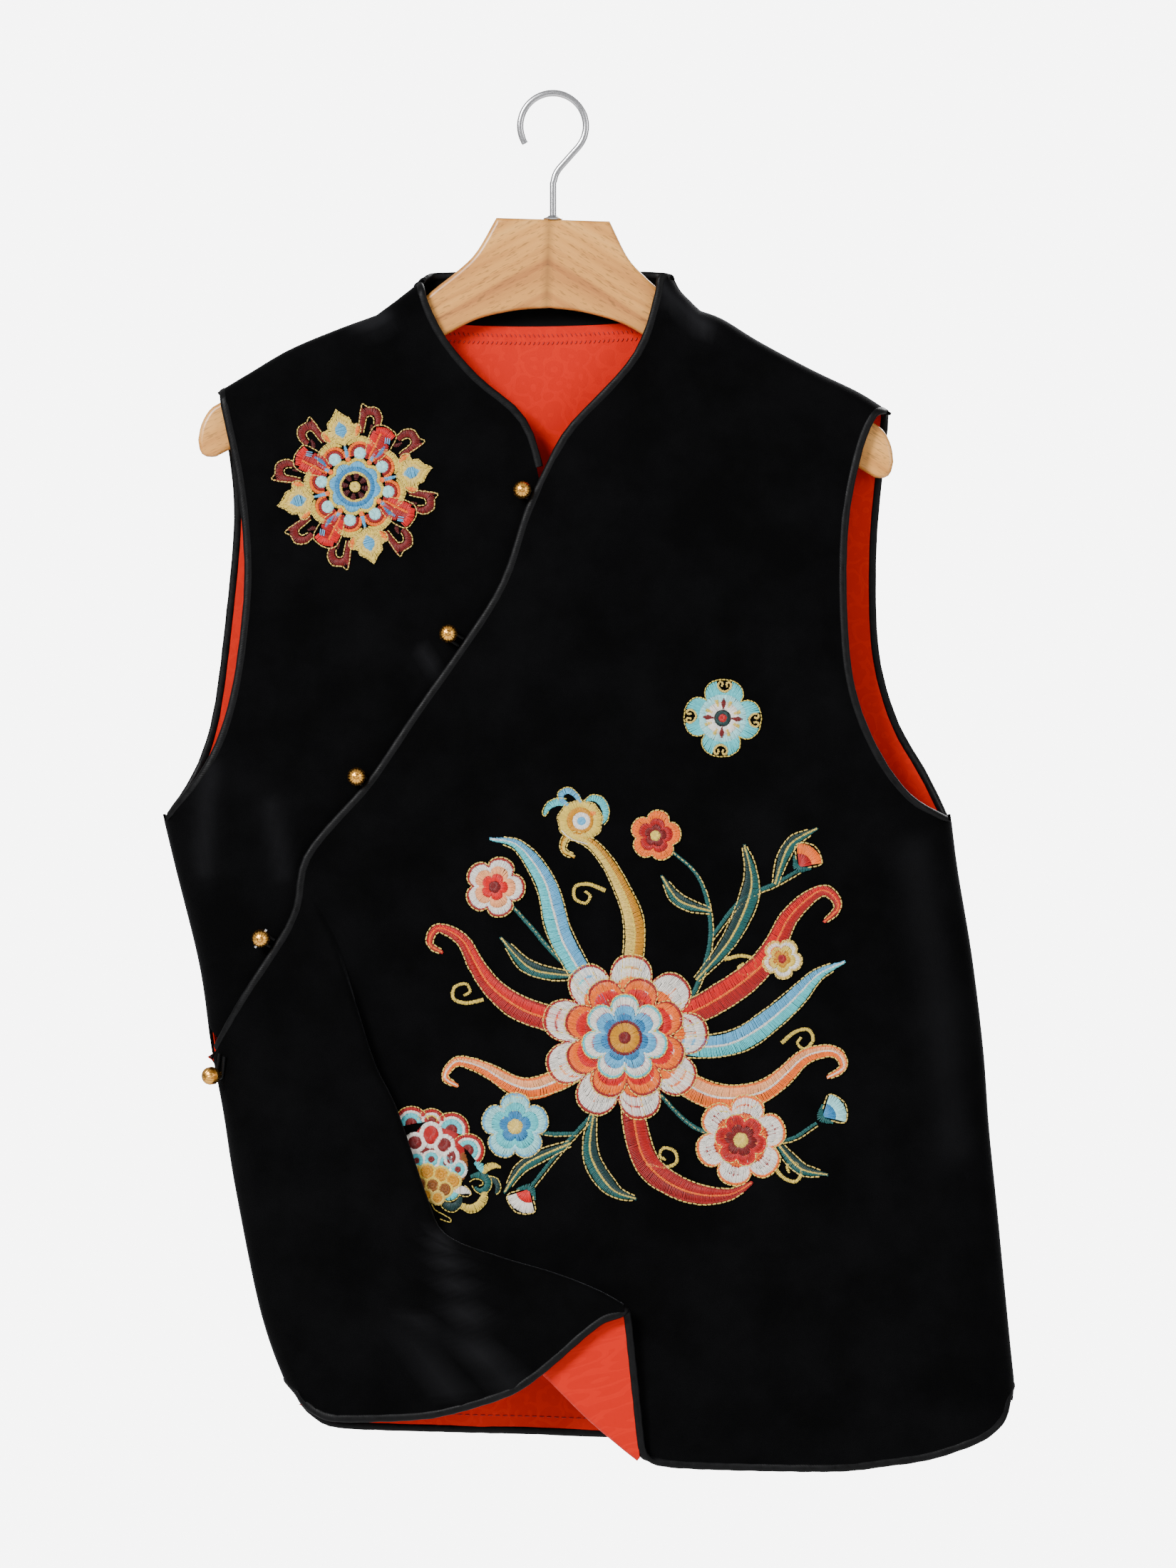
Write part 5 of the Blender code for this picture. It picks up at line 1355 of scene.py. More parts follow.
def threads(name, places, colours, radius, slotName="gold"):
    # places: stitches x points x 3, already on the cloth; the tree turns each into a thin closed thread.
    count, steps = places.shape[:2]
    mesh = bpy.data.meshes.new(name)
    ends = np.arange(count * steps).reshape(count, steps)
    pairs = np.stack([ends[:, :-1].ravel(), ends[:, 1:].ravel()], axis=1)
    mesh.from_pydata((places.reshape(-1, 3) * mm).tolist(), pairs.tolist(), [])
    dye = mesh.attributes.new("threadColour", "FLOAT_COLOR", "POINT")
    shades = np.repeat(np.column_stack([colours, np.ones(count)]), steps, axis=0)
    dye.data.foreach_set("color", shades.ravel())
    obj = bpy.data.objects.new(name, mesh)
    bpy.context.scene.collection.objects.link(obj)
    modifier = obj.modifiers.new("threads", "NODES")
    modifier.node_group = threadTree
    values = {"threadRadius": radius * mm, "sides": stitching["sides"], "finish": finishes["thread"]}
    for item in threadTree.interface.items_tree:
        if item.item_type == "SOCKET" and item.in_out == "INPUT" and item.name in values:
            modifier[item.identifier] = values[item.name]
    baked = bpy.data.meshes.new_from_object(obj.evaluated_get(bpy.context.evaluated_depsgraph_get()))
    obj.modifiers.clear()
    obj.data = baked
    baked.name = name
    pointOutwards(obj)
    place(obj, slotName)
    print("stage:", name, count, "stitches,", sum(len(p.vertices) - 2 for p in baked.polygons), "triangles")


def embroider(name, bag, centre, degrees=0.0, scale=1.0, over=True, radius=None):
    a, b = [np.vstack([rotated(s[end] * scale, degrees, centre) for s in bag]) for end in (0, 1)]
    colours = np.vstack([np.tile(linear[s[2]], (len(s[0]), 1)) for s in bag])
    levels = np.concatenate([np.full(len(s[0]), s[3], float) for s in bag])
    if over:
        # Where the cloth is folded under, the stitches go out of sight with it
        keep = np.zeros(len(a), bool)
        for ends in (a, b):
            foldEdge = np.interp(ends[:, 1], foldStart[:, 1], foldStart[:, 0]) + stitching["foldInset"]
            keep = keep | (ends[:, 0] >= foldEdge)
            ends[:, 0] = np.maximum(ends[:, 0], foldEdge)
        a, b, colours, levels = a[keep], b[keep], colours[keep], levels[keep]
    longest = np.linalg.norm(b - a, axis=1)
    parts = np.array((0.0, 0.2, 0.8, 1.0))
    arch = np.array((0.0, 1.0, 1.0, 0.0))
    flat = a[:, None] + (b - a)[:, None] * parts[:, None]
    bow = arch * np.minimum(stitching["arch"], longest * stitching["archShare"])[:, None]
    above = stitching["lift"] + levels[:, None] * stitching["level"] + bow
    placed, _ = onFace(flat.reshape(-1, 2), "front", over, above.ravel())
    shade = colours * random.uniform(*stitching["uneven"], (len(colours), 1))
    threads(name, placed.reshape(len(a), len(parts), 3), shade, radius or stitching["threadRadius"])


def seamStitches(name, rows, dye, radius):
    # Rows of short stitches on the inside of the back's lining: (line, pitch, half length, lean).
    starts, ends = [], []
    for line, pitch, half, lean in rows:
        line = smooth(line)
        middle = sample(line, np.linspace(0, 1, int(lengths(line)[-1] / pitch)))
        run = heading(middle)
        way = run * math.cos(lean) - aside(run) * math.sin(lean)
        starts.append(middle - way * half)
        ends.append(middle + way * half)
    a, b = np.vstack(starts), np.vstack(ends)
    parts = np.linspace(0, 1, 4)
    flat = a[:, None] + (b - a)[:, None] * parts[:, None]
    under = np.tile(-cloth["stack"] - np.array((0.0, 0.3, 0.3, 0.0)), len(a))
    placed, _ = onFace(flat.reshape(-1, 2), "back", False, under)
    colours = np.tile(linear[dye], (len(a), 1))
    threads(name, placed.reshape(len(a), len(parts), 3), colours, radius, "lining")


def rosette():
    # A round flower of eight lobes with four pointed leaves, four scrolls and hooked curls between them.
    bag = []
    disc(bag, (0, 0), (0.5, 3.0), ["cream"], 1)
    for k in range(8):
        at = 8.5 + 45 * k
        satin(bag, [polar(4.3, at), polar(5.6, at), polar(7.4, at)], (1.4, 2.6, 3.3), "wine", 1)
    lobes = lambda q: 13.6 + 2.6 * np.abs(np.cos(np.radians(4 * (q - 8.5)))) ** 0.8
    disc(bag, (0, 0), (8.4, 11.4, lambda q: lobes(q) - 1.3), ["skyDeep", "sky"])
    satin(bag, ringOf((0, 0), lambda q: lobes(q) - 0.3, steps=96), (1.7, 1.7), "cream", 1)
    satin(bag, ringOf((0, 0), 8.1, steps=40), (1.3, 1.3), "cream", 1)
    for k in range(8):
        at = 8.5 + 45 * k
        heart = polar(19.4, at)
        disc(bag, heart, (0.3, 3.5), ["cyanPale"], 1)
        satin(bag, ringOf(heart, 4.3, at - 118, at + 118, 24), (1.5, 1.5), "rust", 1)
        satin(bag, ringOf(heart, 6.2, at - 112, at + 112, 26), (1.7, 1.7), "peach", 0)
        satin(bag, ringOf(heart, 8.3, at - 62, at + 62, 20), (1.0, 2.6, 2.6, 1.0), "cream", 1)
        dashes(bag, ringOf(heart, 9.9, at - 66, at + 66, 20))
        satin(
            bag, [polar(16.8, at + 22.5), polar(20.5, at + 22.5), polar(24.5, at + 22.5)], (2.2, 1.7, 0.8), "sky", 1,
        )
        disc(bag, polar(16.2, at + 22.5), (0.2, 1.4), ["peach"], 2)
    for k in range(4):
        leaf = []
        tip = [
            (0, -45.2), (-3.0, -41.2), (-6.2, -38.6), (-6.6, -35.4), (-10.0, -34.6), (-10.9, -31.2), (-7.6, -28.0),
            (-3.0, -27.0), (0, -24.6),
        ]
        edge = np.vstack([smooth(tip, 6), smooth(tip, 6)[::-1] * (-1, 1)])
        away = edge - (0, -33.5)
        angles = np.degrees(np.arctan2(away[:, 0], -away[:, 1]))
        order = np.argsort(angles)
        angles, reach = angles[order], np.linalg.norm(away, axis=1)[order]
        outline = lambda q, a=angles, r=reach: np.interp((q + 180) % 360 - 180, a, r, period=360)
        disc(leaf, (0, -33.5), (3.2, lambda q: outline(q) * 0.72, outline), ["goldLight", "cream"], 1)
        satin(leaf, [(0, -38.2), (0, -36.6), (0, -33.6), (0, -28.8)], (1.0, 6.0, 6.6, 0.8), "sky", 2)
        for side in (-1, 1):
            satin(leaf, [(side * 10.2, -34.2), (side * 9.2, -31.0), (side * 7.6, -28.6)], (0.8, 2.6, 1.0), "peach", 2)
        dashes(leaf, ringOf((0, -33.5), lambda q: outline(q) + 0.5, steps=60))
        bag += moved(leaf, -14 + 90 * k)
        scroll = []
        satin(scroll, [(-3.6, -20.5), (-4.4, -27.0), (-5.2, -33.2)], (3.0, 5.6, 5.0), "orange", 1)
        satin(scroll, [(0.0, -20.0), (0.6, -27.5), (0.0, -34.0)], (2.2, 6.0, 6.2), "red", 1)
        satin(scroll, [(-6.0, -34.2), (-0.6, -36.2), (4.2, -35.2)], (3.4, 4.4, 3.4), "orange", 2)
        satin(scroll, [(3.2, -19.5), (4.4, -25.0), (3.8, -29.6)], (1.2, 3.4, 1.4), "red", 1)
        satin(scroll, [(1.6, -20.6), (2.7, -24.8), (2.5, -28.4)], (0.8, 2.5, 1.0), "skyDeep", 2)
        satin(scroll, [(1.4, -31.8), (3.6, -32.6)], (3.2, 3.4), "sky", 3)
        satin(scroll, [(-1.9, -20.0), (-2.2, -26.5), (-2.9, -33.5)], (0.9, 0.9, 0.9), "peach", 3)
        dashes(
            scroll,
            [
                (-5.4, -20.6), (-8.0, -28.0), (-8.4, -35.0), (-4.6, -38.4), (1.0, -38.8), (5.4, -37.2), (6.4, -31.0),
                (5.6, -24.0), (3.2, -18.6),
            ],
        )
        bag += moved(scroll, 31 + 90 * k)
        for side in (-1, 1):
            curl = []
            hookLine = [
                (7.2, -36.2), (8.2, -40.2), (12.2, -42.8), (16.6, -40.6), (17.0, -36.4), (14.8, -32.4), (13.4, -28.4),
            ]
            satin(curl, hookLine, (2.6, 3.6, 4.2, 4.4, 3.8, 3.2, 1.6), "maroon", 0)
            satin(curl, [(16.2, -37.4), (18.6, -38.6), (20.6, -41.6)], (2.8, 2.2, 0.5), "maroon", 0)
            satin(curl, [(6.2, -32.0), (8.4, -32.8), (10.0, -35.2)], (1.6, 2.0, 0.8), "wine", 0)
            dashes(
                curl,
                [
                    (5.6, -38.0), (7.2, -42.4), (12.2, -45.4), (17.4, -43.0), (20.9, -43.2), (19.6, -38.6),
                    (17.6, -34.4), (15.2, -28.2),
                ],
            )
            dashes(curl, [(9.4, -36.6), (11.0, -39.2), (13.2, -39.6), (14.6, -37.4), (13.2, -33.4), (11.6, -28.6)])
            bag += moved(curl, 31 + 90 * k, flip=side)
    return bag


def fourPetals():
    # A blue flower of four notched petals, with a pair of gold curls in each notch.
    bag = []

    def edge(q):
        off = np.abs((q - 3.5 + 45) % 90 - 45)
        return 12.2 + 9.4 * (1 - (off / 45) ** 3.0) ** 0.62

    def notched(q):
        off = np.abs((q - 3.5 + 45) % 90 - 45)
        return np.where(off < 11.5, 14.4 + 0.02 * off**2, edge(q))

    disc(bag, (0, 0), (4.9, 9.6, 13.6, notched), ["white", "cyanPale", "cyan"])
    for k in range(4):
        petal = []
        satin(petal, [(0, -6.0), (0, -8.4), (0, -11.0)], (0.8, 2.8, 0.7), "maroon", 2)
        satin(petal, [(0, -4.6), (0, -6.4)], (0.5, 0.5), "wine", 2)
        for side in (-1, 1):
            satin(petal, [(side * 3.0, -6.6), (side * 4.2, -9.6)], (1.0, 1.7), "cream", 2)
            curl = [
                (side * 0.4, -15.2), (side * 2.6, -16.4), (side * 3.8, -18.8), (side * 2.6, -20.8),
                (side * 1.1, -19.8), (side * 1.5, -18.2),
            ]
            satin(petal, curl, (0.9, 0.9, 0.8), "goldLight", 2)
        bag += moved(petal, 3.5 + 90 * k)
    disc(bag, (0, 0), (2.0, 4.3), ["teal"], 1)
    disc(bag, (0, 0), (0.2, 2.4), ["red"], 2)
    dashes(bag, ringOf((0, 0), lambda q: edge(q) + 0.5, steps=120), "cream")
    return bag


def smallBlossom():
    # A gold disc with curled blue leaves.
    bag = []
    rim = lambda q: 10.9 + 1.5 * np.abs(np.sin(np.radians(q))) + 0.35 * np.cos(np.radians(q * 9))
    satin(
        bag, [(3.0, -10.6), (6.6, -13.0), (11.6, -11.6), (14.6, -6.6), (14.2, -1.2), (12.4, 1.8)],
        (0.8, 3.4, 4.6, 4.6, 3.2, 0.6), "cyan", 0,
    )
    dashes(bag, [(2.4, -11.4), (6.4, -14.8), (12.6, -13.6), (16.4, -7.6), (16.2, -1.4), (13.4, 3.0)], "cream")
    loop = [(0.6, -10.0), (-2.4, -14.6), (-6.8, -17.2), (-10.8, -15.4), (-10.4, -11.4), (-6.6, -8.6)]
    satin(bag, loop, (1.6, 3.0, 3.2, 3.4, 3.0, 1.6), "sky", 1)
    dashes(bag, [(1.4, -10.4), (-2.0, -16.2), (-6.8, -19.2), (-12.6, -16.4), (-12.2, -11.2)], "cream")
    satin(
        bag, [(-7.2, -9.2), (-11.8, -10.8), (-16.6, -9.4), (-19.6, -5.6), (-20.2, -3.2)], (2.2, 4.2, 4.2, 3.0, 1.4),
        "cyan", 0,
    )
    dashes(bag, [(-8.0, -12.4), (-13.2, -13.0), (-18.6, -10.6), (-21.6, -5.4), (-20.4, -2.4), (-17.6, -5.8)], "cream")
    disc(bag, (0, 0), (4.4, 7.6, rim), ["gold", "cream"], 1)
    satin(bag, [(6.2, -4.4), (8.6, -4.2)], (2.6, 2.2), "peach", 2)
    disc(bag, (0.8, 0.2), (2.3, 5.0), ["white"], 2)
    disc(bag, (0.8, 0.2), (0.2, 2.6), ["sky"], 2)
    dashes(bag, ringOf((0, 0), lambda q: rim(q) + 0.5, steps=80), "goldLight")
    sew(
        bag, [(-10.6, 5.6), (-8.0, 8.6), (-4.6, 10.8), (-0.4, 12.2)],
        [(-8.0, 8.6), (-4.6, 10.8), (-0.4, 12.2), (4.4, 13.4)], "white", 2,
    )
    return bag


def oval(q, high, wide):
    # How far an oval reaches from its middle at the angle q.
    return high * wide / np.sqrt((wide * np.cos(np.radians(q))) ** 2 + (high * np.sin(np.radians(q))) ** 2)


def lotus():
    # A lotus flower seen from the side, with curled leaves; its left part is folded under.
    bag = []
    fan(bag, (30.0, 34.0), -110, 130, (1.0, 9.0, 16.0), ["maroon", "red"], 0)
    fan(bag, (33.0, 42.0), 60, 250, (1.0, 10.0, 15.0), ["gold", "brown"], 0)
    for (x, y), radius, first, last, core in (
        ((15.7, 18.3), 8.6, -100, 80, "cyan"), ((38.7, 22.0), 8.8, -70, 110, "cyan"),
        ((48.1, 33.5), 8.2, -50, 140, "cyan"), ((27.2, 17.5), 6.6, -80, 80, "cream"),
    ):
        satin(bag, ringOf((x, y), radius, first, last, 24), (1.8, 1.8), "red", 1)
        dashes(bag, ringOf((x, y), radius + 1.4, first, last, 24))
        fan(bag, (x, y), first, last, (0.4, 3.4, radius - 2.4, radius - 0.8), ["maroon", core, "white"], 1)
    for (x, y), radius, across in (
        ((27.0, 24.6), 5.8, 4.8), ((17.8, 29.0), 4.0, 4.4), ((34.6, 30.4), 4.3, 4.2), ((38.6, 37.4), 4.3, 2.8),
    ):
        rule = lambda q, r=radius, w=across: oval(q, r, w)
        disc(bag, (x, y), (lambda q, rule=rule: rule(q) * 0.9, lambda q, rule=rule: rule(q) + 1.9), ["white"], 2)
        disc(bag, (x, y), (0.3, rule), ["maroon" if radius < 5 else "red"], 2)
    rows = (
        (2, "cyan", "white", 5.4, ((18.6, 39.4), (27.2, 38.6), (35.8, 40.6), (42.4, 44.4))),
        (3, "gold", "cream", 5.2, ((17.4, 46.4), (24.8, 45.8), (32.8, 47.4), (39.4, 51.0))),
        (4, "brown", "cream", 4.9, ((20.6, 53.0), (28.0, 53.6), (34.8, 55.8))),
        (5, "gold", "goldLight", 4.2, ((24.0, 59.2), (30.8, 60.6))),
    )
    for level, core, rim, radius, places in rows:
        for x, y in places:
            fan(
                bag, (x, y), 0, 360, (0.3, 1.8, radius - 1.4, radius), ["maroon" if level == 2 else core, core, rim],
                level,
            )
    satin(bag, [(37.8, 56.4), (42.6, 56.0), (46.8, 56.6), (49.6, 58.0)], (1.4, 5.0, 4.0, 1.0), "white", 2)
    dashes(bag, [(36.6, 57.8), (42.0, 58.8), (46.6, 60.0), (49.8, 58.8), (49.0, 56.0), (45.6, 53.2)])
    satin(
        bag, [(49.8, 48.4), (54.6, 47.6), (58.8, 49.6), (59.4, 54.0), (55.6, 56.6), (52.2, 54.8)],
        (1.6, 3.6, 4.2, 3.8, 2.8, 1.0), "tealLight", 1,
    )
    dashes(bag, [(49.0, 51.4), (52.2, 49.8), (55.8, 50.6), (56.8, 53.0), (54.0, 54.0)], "cream")
    dashes(bag, [(50.6, 53.8), (52.6, 57.0), (56.6, 58.6), (60.8, 56.0), (61.8, 51.0), (59.4, 47.4)], "cream")
    satin(bag, [(60.0, 49.0), (63.6, 50.6), (65.6, 54.0), (64.2, 58.2)], (1.4, 3.6, 3.2, 0.8), "teal", 1)
    dashes(bag, [(60.6, 48.2), (65.0, 49.6), (67.0, 54.0), (66.2, 57.4), (64.0, 59.2)], "cream")
    satin(bag, [(52.4, 40.4), (55.0, 42.6), (56.6, 45.6)], (2.0, 4.2, 2.0), "cyan", 1)
    satin(bag, [(57.0, 46.4), (59.4, 43.2), (63.2, 42.2), (66.8, 43.2)], (2.2, 4.4, 3.2, 0.8), "cream", 1)
    satin(
        bag, [(44.6, 65.0), (49.4, 66.8), (54.2, 64.8), (57.0, 60.8), (57.2, 57.4)], (2.8, 4.2, 4.4, 4.2, 2.2),
        "cream", 1,
    )
    dashes(bag, [(44.0, 66.6), (49.4, 69.4), (55.4, 67.2), (59.2, 62.0), (58.8, 56.8)], "cream")
    satin(bag, [(32.6, 61.4), (36.6, 65.4), (41.8, 65.2), (43.8, 60.4)], (1.4, 4.2, 4.6, 2.4), "teal", 1)
    dashes(bag, [(31.0, 62.2), (34.4, 67.2), (39.6, 69.0), (44.2, 66.0)], "cream")
    fan(bag, (37.4, 56.6), 110, 250, (1.4, 5.4), ["cyan"], 2)
    dashes(bag, ringOf((37.4, 56.6), 6.2, 110, 250, 20), "cream", 3)
    dashes(bag, [(26.4, 62.4), (29.2, 67.4), (34.0, 70.2), (38.2, 73.0), (37.6, 74.8), (31.6, 72.8)], "cream")
    return bag


def petalled(bag, centre, radius, count, dyeNames, level=0, turn=0.0, depth=0.35, start=0.3, rim=None, veins=None):
    # A ring of round petals in zones of colour, with a corded rim and a running stitch round it.
    def edge(q):
        off = np.abs((q - turn + 180 / count) % (360 / count) - 180 / count) / (180 / count)
        return radius * (1 - depth + depth * (1 - off**2.4) ** 0.6)

    zones = [lambda q, part=part: edge(q) * part for part in np.linspace(start, 0.99, len(dyeNames) + 1)]
    disc(bag, centre, zones, dyeNames, level)
    if rim:
        satin(bag, ringOf(centre, lambda q: edge(q) - 0.2, steps=20 * count), (1.3, 1.3), rim, level + 0.6)
    dashes(bag, ringOf(centre, lambda q: edge(q) + 0.9, steps=24 * count), "goldLight", level + 1)
    for k in range(count if veins else 0):
        for off in (-7, 0, 7):
            low, high = radius * (start + 0.12), radius * (0.78 if off else 0.86)
            at = turn + 360 / count * k + off * 24 / radius
            satin(
                bag, [np.array(centre) + polar(low, at), np.array(centre) + polar(high, at)], (0.9, 0.5), veins,
                level + 1,
            )


def plume(bag, spine, widths, tones, level=0, rim=None):
    # A long curling leaf in two tones with a pale rib and a dashed gold edge.
    line = smooth(spine)
    run = heading(line)
    at = lengths(line) / lengths(line)[-1]
    wide = np.interp(at, np.linspace(0, 1, len(widths)), widths)[:, None] / 2
    across = aside(run) * wide
    f = np.linspace(0, 1, max(4, int(lengths(line)[-1] / stitching["pitch"])))
    root = sample(line, f)
    reach = np.stack([np.interp(f, at, across[:, k]) for k in (0, 1)], axis=1)
    lean = np.stack([np.interp(f, at, run[:, k]) for k in (0, 1)], axis=1) * 0.8
    for side, tone in ((-1, tones[0]), (1, tones[1])):
        sew(bag, root, root + side * reach + lean, tone, level)
        if rim:
            satin(bag, (line + side * across)[::5], (0.9, 1.1, 0.8), rim, level + 0.6)
        dashes(bag, (line + side * across * (1 + 0.9 / np.maximum(wide, 0.5)))[::6], "goldLight", level + 1)
    satin(bag, line[::5], (0.9, 1.0, 0.6), tones[2], level + 1)


def sprayStems():
    # Winding stems with teal leaves, buds and tendrils, which the blossoms lie on.
    bag = []
    stems = [
        [(-58, 100), (-42, 80), (-20, 56), (8, 26), (34, -8), (46, -44), (40, -78), (20, -98)],
        [(46, -44), (64, -66), (84, -76), (98, -84)], [(10, 40), (36, 66), (62, 72), (90, 74), (108, 64)],
        [(-10, -10), (-40, -30), (-60, -52), (-76, -70)], [(-34, 70), (-50, 70), (-64, 66)],
    ]
    for stem in stems:
        satin(bag, stem, (1.6, 2.2, 2.2, 1.4), "tealLight", 0)
        dashes(bag, np.array(stem) + (1.7, 1.3), "goldLight", 0)
    leaves = [
        ([(38, -20), (58, -44), (70, -74), (66, -98)], (2, 8, 10, 1), ("tealLight", "teal", "cream")),
        ([(46, -60), (28, -66), (18, -80)], (2, 7, 1), ("teal", "tealLight", "cream")),
        ([(-22, 58), (-24, 82), (-12, 102), (2, 108)], (2, 8, 9, 1), ("tealLight", "teal", "cream")),
        ([(-36, 76), (-62, 88), (-74, 104)], (2, 7, 1), ("teal", "tealLight", "cream")),
        ([(-30, -22), (-58, -26), (-76, -44)], (2, 8, 1), ("teal", "tealLight", "cream")),
        ([(84, 74), (98, 90), (114, 94)], (2, 7, 1), ("tealLight", "teal", "cream")),
        ([(84, -76), (92, -98), (108, -108)], (2, 7, 1), ("tealLight", "teal", "cream")),
    ]
    for line, widths, tones in leaves:
        plume(bag, line, widths, tones, 0.4)
    for (x, y), turn, tones in (
        ((98, -86), 38, ("red", "peach")), ((112, 60), 60, ("skyDeep", "cyanPale")),
        ((-60, 103), -150, ("orange", "white")),
    ):
        bud = []
        fan(bud, (0, 0), -42, 42, (0.6, 7.5, 13.5), list(tones), 1.6)
        satin(bud, [(-6, -3), (0, 1.6), (6, -3)], (1.0, 4.0, 1.0), "tealLight", 2)
        dashes(bud, [(-4, -2), (-9.4, -9.6), (0, -14.9), (9.4, -9.6), (4, -2)])
        bag += moved(bud, turn, (x, y))
    curl = [(0, 12), (1.6, 2), (6.6, -4.0), (12.6, -1.0), (12.2, 5.8), (7.2, 6.4), (6.2, 2.6)]
    for centre, turn, flip in (
        ((96, 8), 42, 1), ((-98, -4), 250, 1), ((88, 98), 150, -1), ((-26, -78), 300, -1), ((66, -36), 70, 1),
        ((20, 92), 110, -1), ((-74, 52), 250, -1),
    ):
        tendril = []
        satin(tendril, curl, (1.9, 1.6, 1.4, 1.1), "cream", 0.6)
        bag += moved(tendril, turn, centre, flip=flip)
    return bag


def sprayPlumes():
    # Long curling leaves that fly out from under the peony.
    bag = []
    plumes = [
        (
            [(8, 8), (42, -4), (76, -28), (92, -56), (111, -72), (121, -63), (113, -54)], (6, 13, 15, 12, 9, 5, 1),
            ("red", "orange", "peach"), "rust",
        ),
        ([(10, 18), (56, 18), (88, -2), (108, -22), (124, -30)], (6, 12, 13, 10, 1), ("cyan", "sky", "white"), None),
        (
            [(10, 26), (46, 48), (78, 45), (100, 26), (118, 22), (124, 31), (115, 37)], (6, 12, 14, 11, 8, 5, 1),
            ("peach", "peachPale", "white"), "peach",
        ),
        (
            [(-16, 8), (-58, 0), (-84, -18), (-98, -42), (-113, -50), (-118, -41), (-111, -36)],
            (6, 12, 13, 10, 7, 4, 1), ("orange", "red", "peach"), "rust",
        ),
        (
            [(-14, 0), (-40, -42), (-50, -76), (-66, -98), (-82, -102)], (6, 12, 13, 9, 1), ("sky", "cyan", "white"),
            None,
        ),
        (
            [(-18, 26), (-58, 44), (-86, 32), (-102, 28), (-109, 37), (-102, 42)], (5, 10, 11, 7, 4, 1),
            ("peachPale", "peach", "white"), "peach",
        ),
        ([(-2, 30), (6, 82), (30, 103), (56, 106), (70, 99)], (5, 12, 13, 10, 1), ("rust", "red", "peach"), "rust"),
        (
            [(-4, -6), (2, -48), (-8, -78), (-22, -98), (-36, -104), (-40, -96), (-34, -92)], (5, 10, 11, 8, 6, 4, 1),
            ("gold", "goldLight", "cream"), None,
        ),
    ]
    for line, widths, tones, rim in plumes:
        plume(bag, line, widths, tones, 0.8, rim)
    return bag


def sprayBlossoms():
    # A peony in the middle and five smaller blossoms round it.
    bag = []
    petalled(bag, (-4, 14), 48, 9, ["peach", "white", "white"], 1.4, 6, start=0.6, rim="rust", veins="peach")
    petalled(bag, (-4, 14), 35.5, 8, ["red", "orange", "peach"], 2.6, 20, start=0.52, rim="rust")
    petalled(bag, (-4, 14), 24.5, 7, ["skyDeep", "sky", "white"], 3.8, 0, start=0.36, rim="cyan")
    disc(bag, (-4, 14), (3.2, 9.2), ["gold"], 5)
    satin(bag, ringOf((-4, 14), 9.4, steps=36), (1.6, 1.6), "maroon", 5.4)
    disc(bag, (-4, 14), (0.3, 3.6), ["maroon"], 5.6)
    petalled(bag, (64, 74), 26, 6, ["peach", "white", "white"], 1.4, 12, start=0.42, rim="peach", veins="rust")
    petalled(bag, (64, 74), 14.5, 6, ["maroon", "red"], 2.6, 42, rim="orange")
    disc(bag, (64, 74), (0.3, 4.4), ["cream"], 3.4)
    petalled(bag, (-68, 66), 19, 5, ["skyDeep", "cyan", "cyanPale"], 1.4, 0, start=0.24, rim="sky")
    disc(bag, (-68, 66), (0.3, 4.4), ["goldLight"], 2.4)
    petalled(bag, (-80, -74), 17, 5, ["orange", "peachPale", "white"], 1.4, 20, start=0.2, rim="rust")
    disc(bag, (-80, -74), (0.3, 3.4), ["maroon"], 2.4)
    petalled(bag, (14, -104), 14, 5, ["maroon", "red", "peach"], 1.4, 10, start=0.2, rim="peach")
    disc(bag, (14, -104), (0.3, 3.0), ["cream"], 2.4)
    petalled(bag, (88, -32), 11, 5, ["gold", "cream", "white"], 1.4, 30, start=0.2, rim="goldLight")
    disc(bag, (88, -32), (0.3, 2.6), ["rust"], 2.4)
    return bag


embroider("rosette_threads", rosette(), (-113.6, 225.0), over=False)
embroider("blue_flower_threads", fourPetals(), (97.2, 357.8))
embroider("small_blossom_threads", smallBlossom(), (15.6, 416.5))
embroider("lotus_threads", lotus(), (-96.8, 571.8))
stitching.update(stitching["broad"])
for name, design in (("stem", sprayStems()), ("plume", sprayPlumes()), ("blossom", sprayBlossoms())):
    embroider(f"spray_{name}_threads", design, (45.0, 527.0), scale=0.98, radius=stitching["broadRadius"])
liningSeams = {
    "dye": "rust", "radius": 0.28,
    "rows": [
        ([(-86.0, 135.0), (-60.0, 136.0), (-8.0, 137.4), (45.0, 135.0), (72.0, 132.6)], 2.6, 1.0, 1.0),
        ([(-86.0, 139.4), (-60.0, 140.4), (-8.0, 141.8), (45.0, 139.4), (72.0, 137.0)], 2.6, 1.0, -1.0),
        (
            [
                (-146.0, 752.0), (-134.0, 755.0), (-120.0, 757.6), (-26.2, 759.8), (42.6, 762.4), (160.0, 765.6),
                (240.0, 760.0),
            ],
            4.2, 1.3, 0.0,
        ),
    ],
}
seamStitches("lining_seam_threads", liningSeams["rows"], liningSeams["dye"], liningSeams["radius"])
print("stage: embroidery ready")


# ---- floor, light and camera

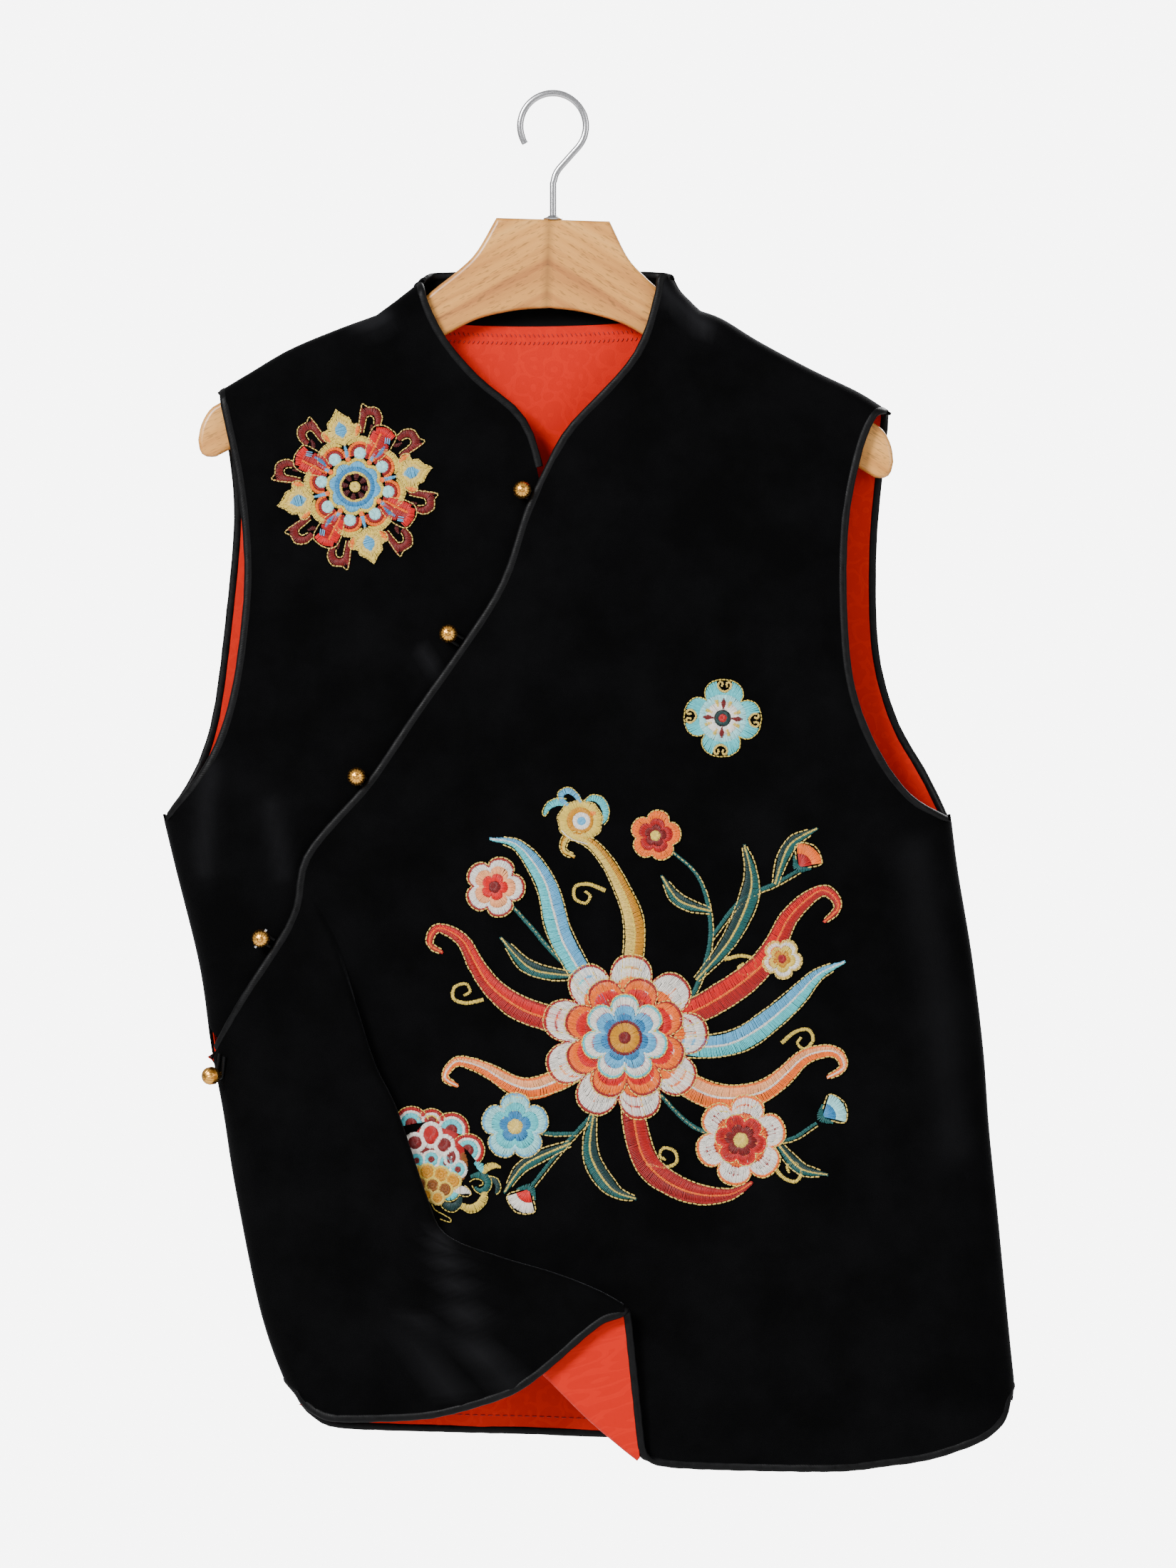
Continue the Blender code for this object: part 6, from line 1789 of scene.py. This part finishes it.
studio = {
    "floorDrop": 1.6, "floorSize": 3.0, "pale": (0.86, 0.86, 0.86), "surround": 0.5, "background": 7.0,
    "cameraAim": (0.0201, 0.0, -0.3955), "cameraAway": 5.011, "lens": 200.0,
    "key": ((-1.9, -3.0, 1.3), 1.4, 210.0), "fill": ((2.6, -2.6, 0.2), 2.2, 40.0), "rim": (
        (1.4, 2.6, 1.6), 1.6, 120.0,
    ),
}


def areaLight(name, spot, size, power, aim):
    light = bpy.data.lights.new(name, "AREA")
    light.shape, light.size, light.energy = "DISK", size, power
    obj = bpy.data.objects.new(name, light)
    obj.location = spot
    way = np.array(aim) - np.array(spot)
    obj.rotation_mode = "QUATERNION"
    obj.rotation_quaternion = Vector(way).to_track_quat("-Z", "Y")
    bpy.context.scene.collection.objects.link(obj)


size, low = studio["floorSize"] / mm, -studio["floorDrop"] / mm
corners = [(-size, -size, low), (size, -size, low), (size, size, low), (-size, size, low)]
floor = newObject("studioFloor", corners, [[0, 1, 2, 3]], newMaterial("paleFloor", studio["pale"], 0.8)[0])
for name in ("key", "fill", "rim"):
    spot, lampSize, power = studio[name]
    areaLight(name + "Light", spot, lampSize, power, studio["cameraAim"])
world = bpy.data.worlds.new("studioWorld")
world.use_nodes = True
sky = world.node_tree
around = sky.nodes["Background"]
around.inputs["Color"].default_value = (1, 1, 1, 1)
around.inputs["Strength"].default_value = studio["surround"]
paper = node(sky, "ShaderNodeBackground", Strength=studio["background"])
paper.inputs["Color"].default_value = (1, 1, 1, 1)
seen = node(sky, "ShaderNodeLightPath").outputs["Is Camera Ray"]
both = node(sky, "ShaderNodeMixShader", [(0, seen), (1, around.outputs[0]), (2, paper.outputs[0])])
sky.links.new(both.outputs[0], sky.nodes["World Output"].inputs[0])
bpy.context.scene.world = world

camera = bpy.data.objects.new("camera", bpy.data.cameras.new("camera"))
camera.data.lens, camera.data.sensor_width = studio["lens"], 36.0
aimX, aimY, aimZ = studio["cameraAim"]
camera.location = (aimX, aimY - studio["cameraAway"], aimZ)
camera.rotation_euler = (math.pi / 2, 0, 0)
bpy.context.scene.collection.objects.link(camera)
bpy.context.scene.camera = camera

print("stage: done")
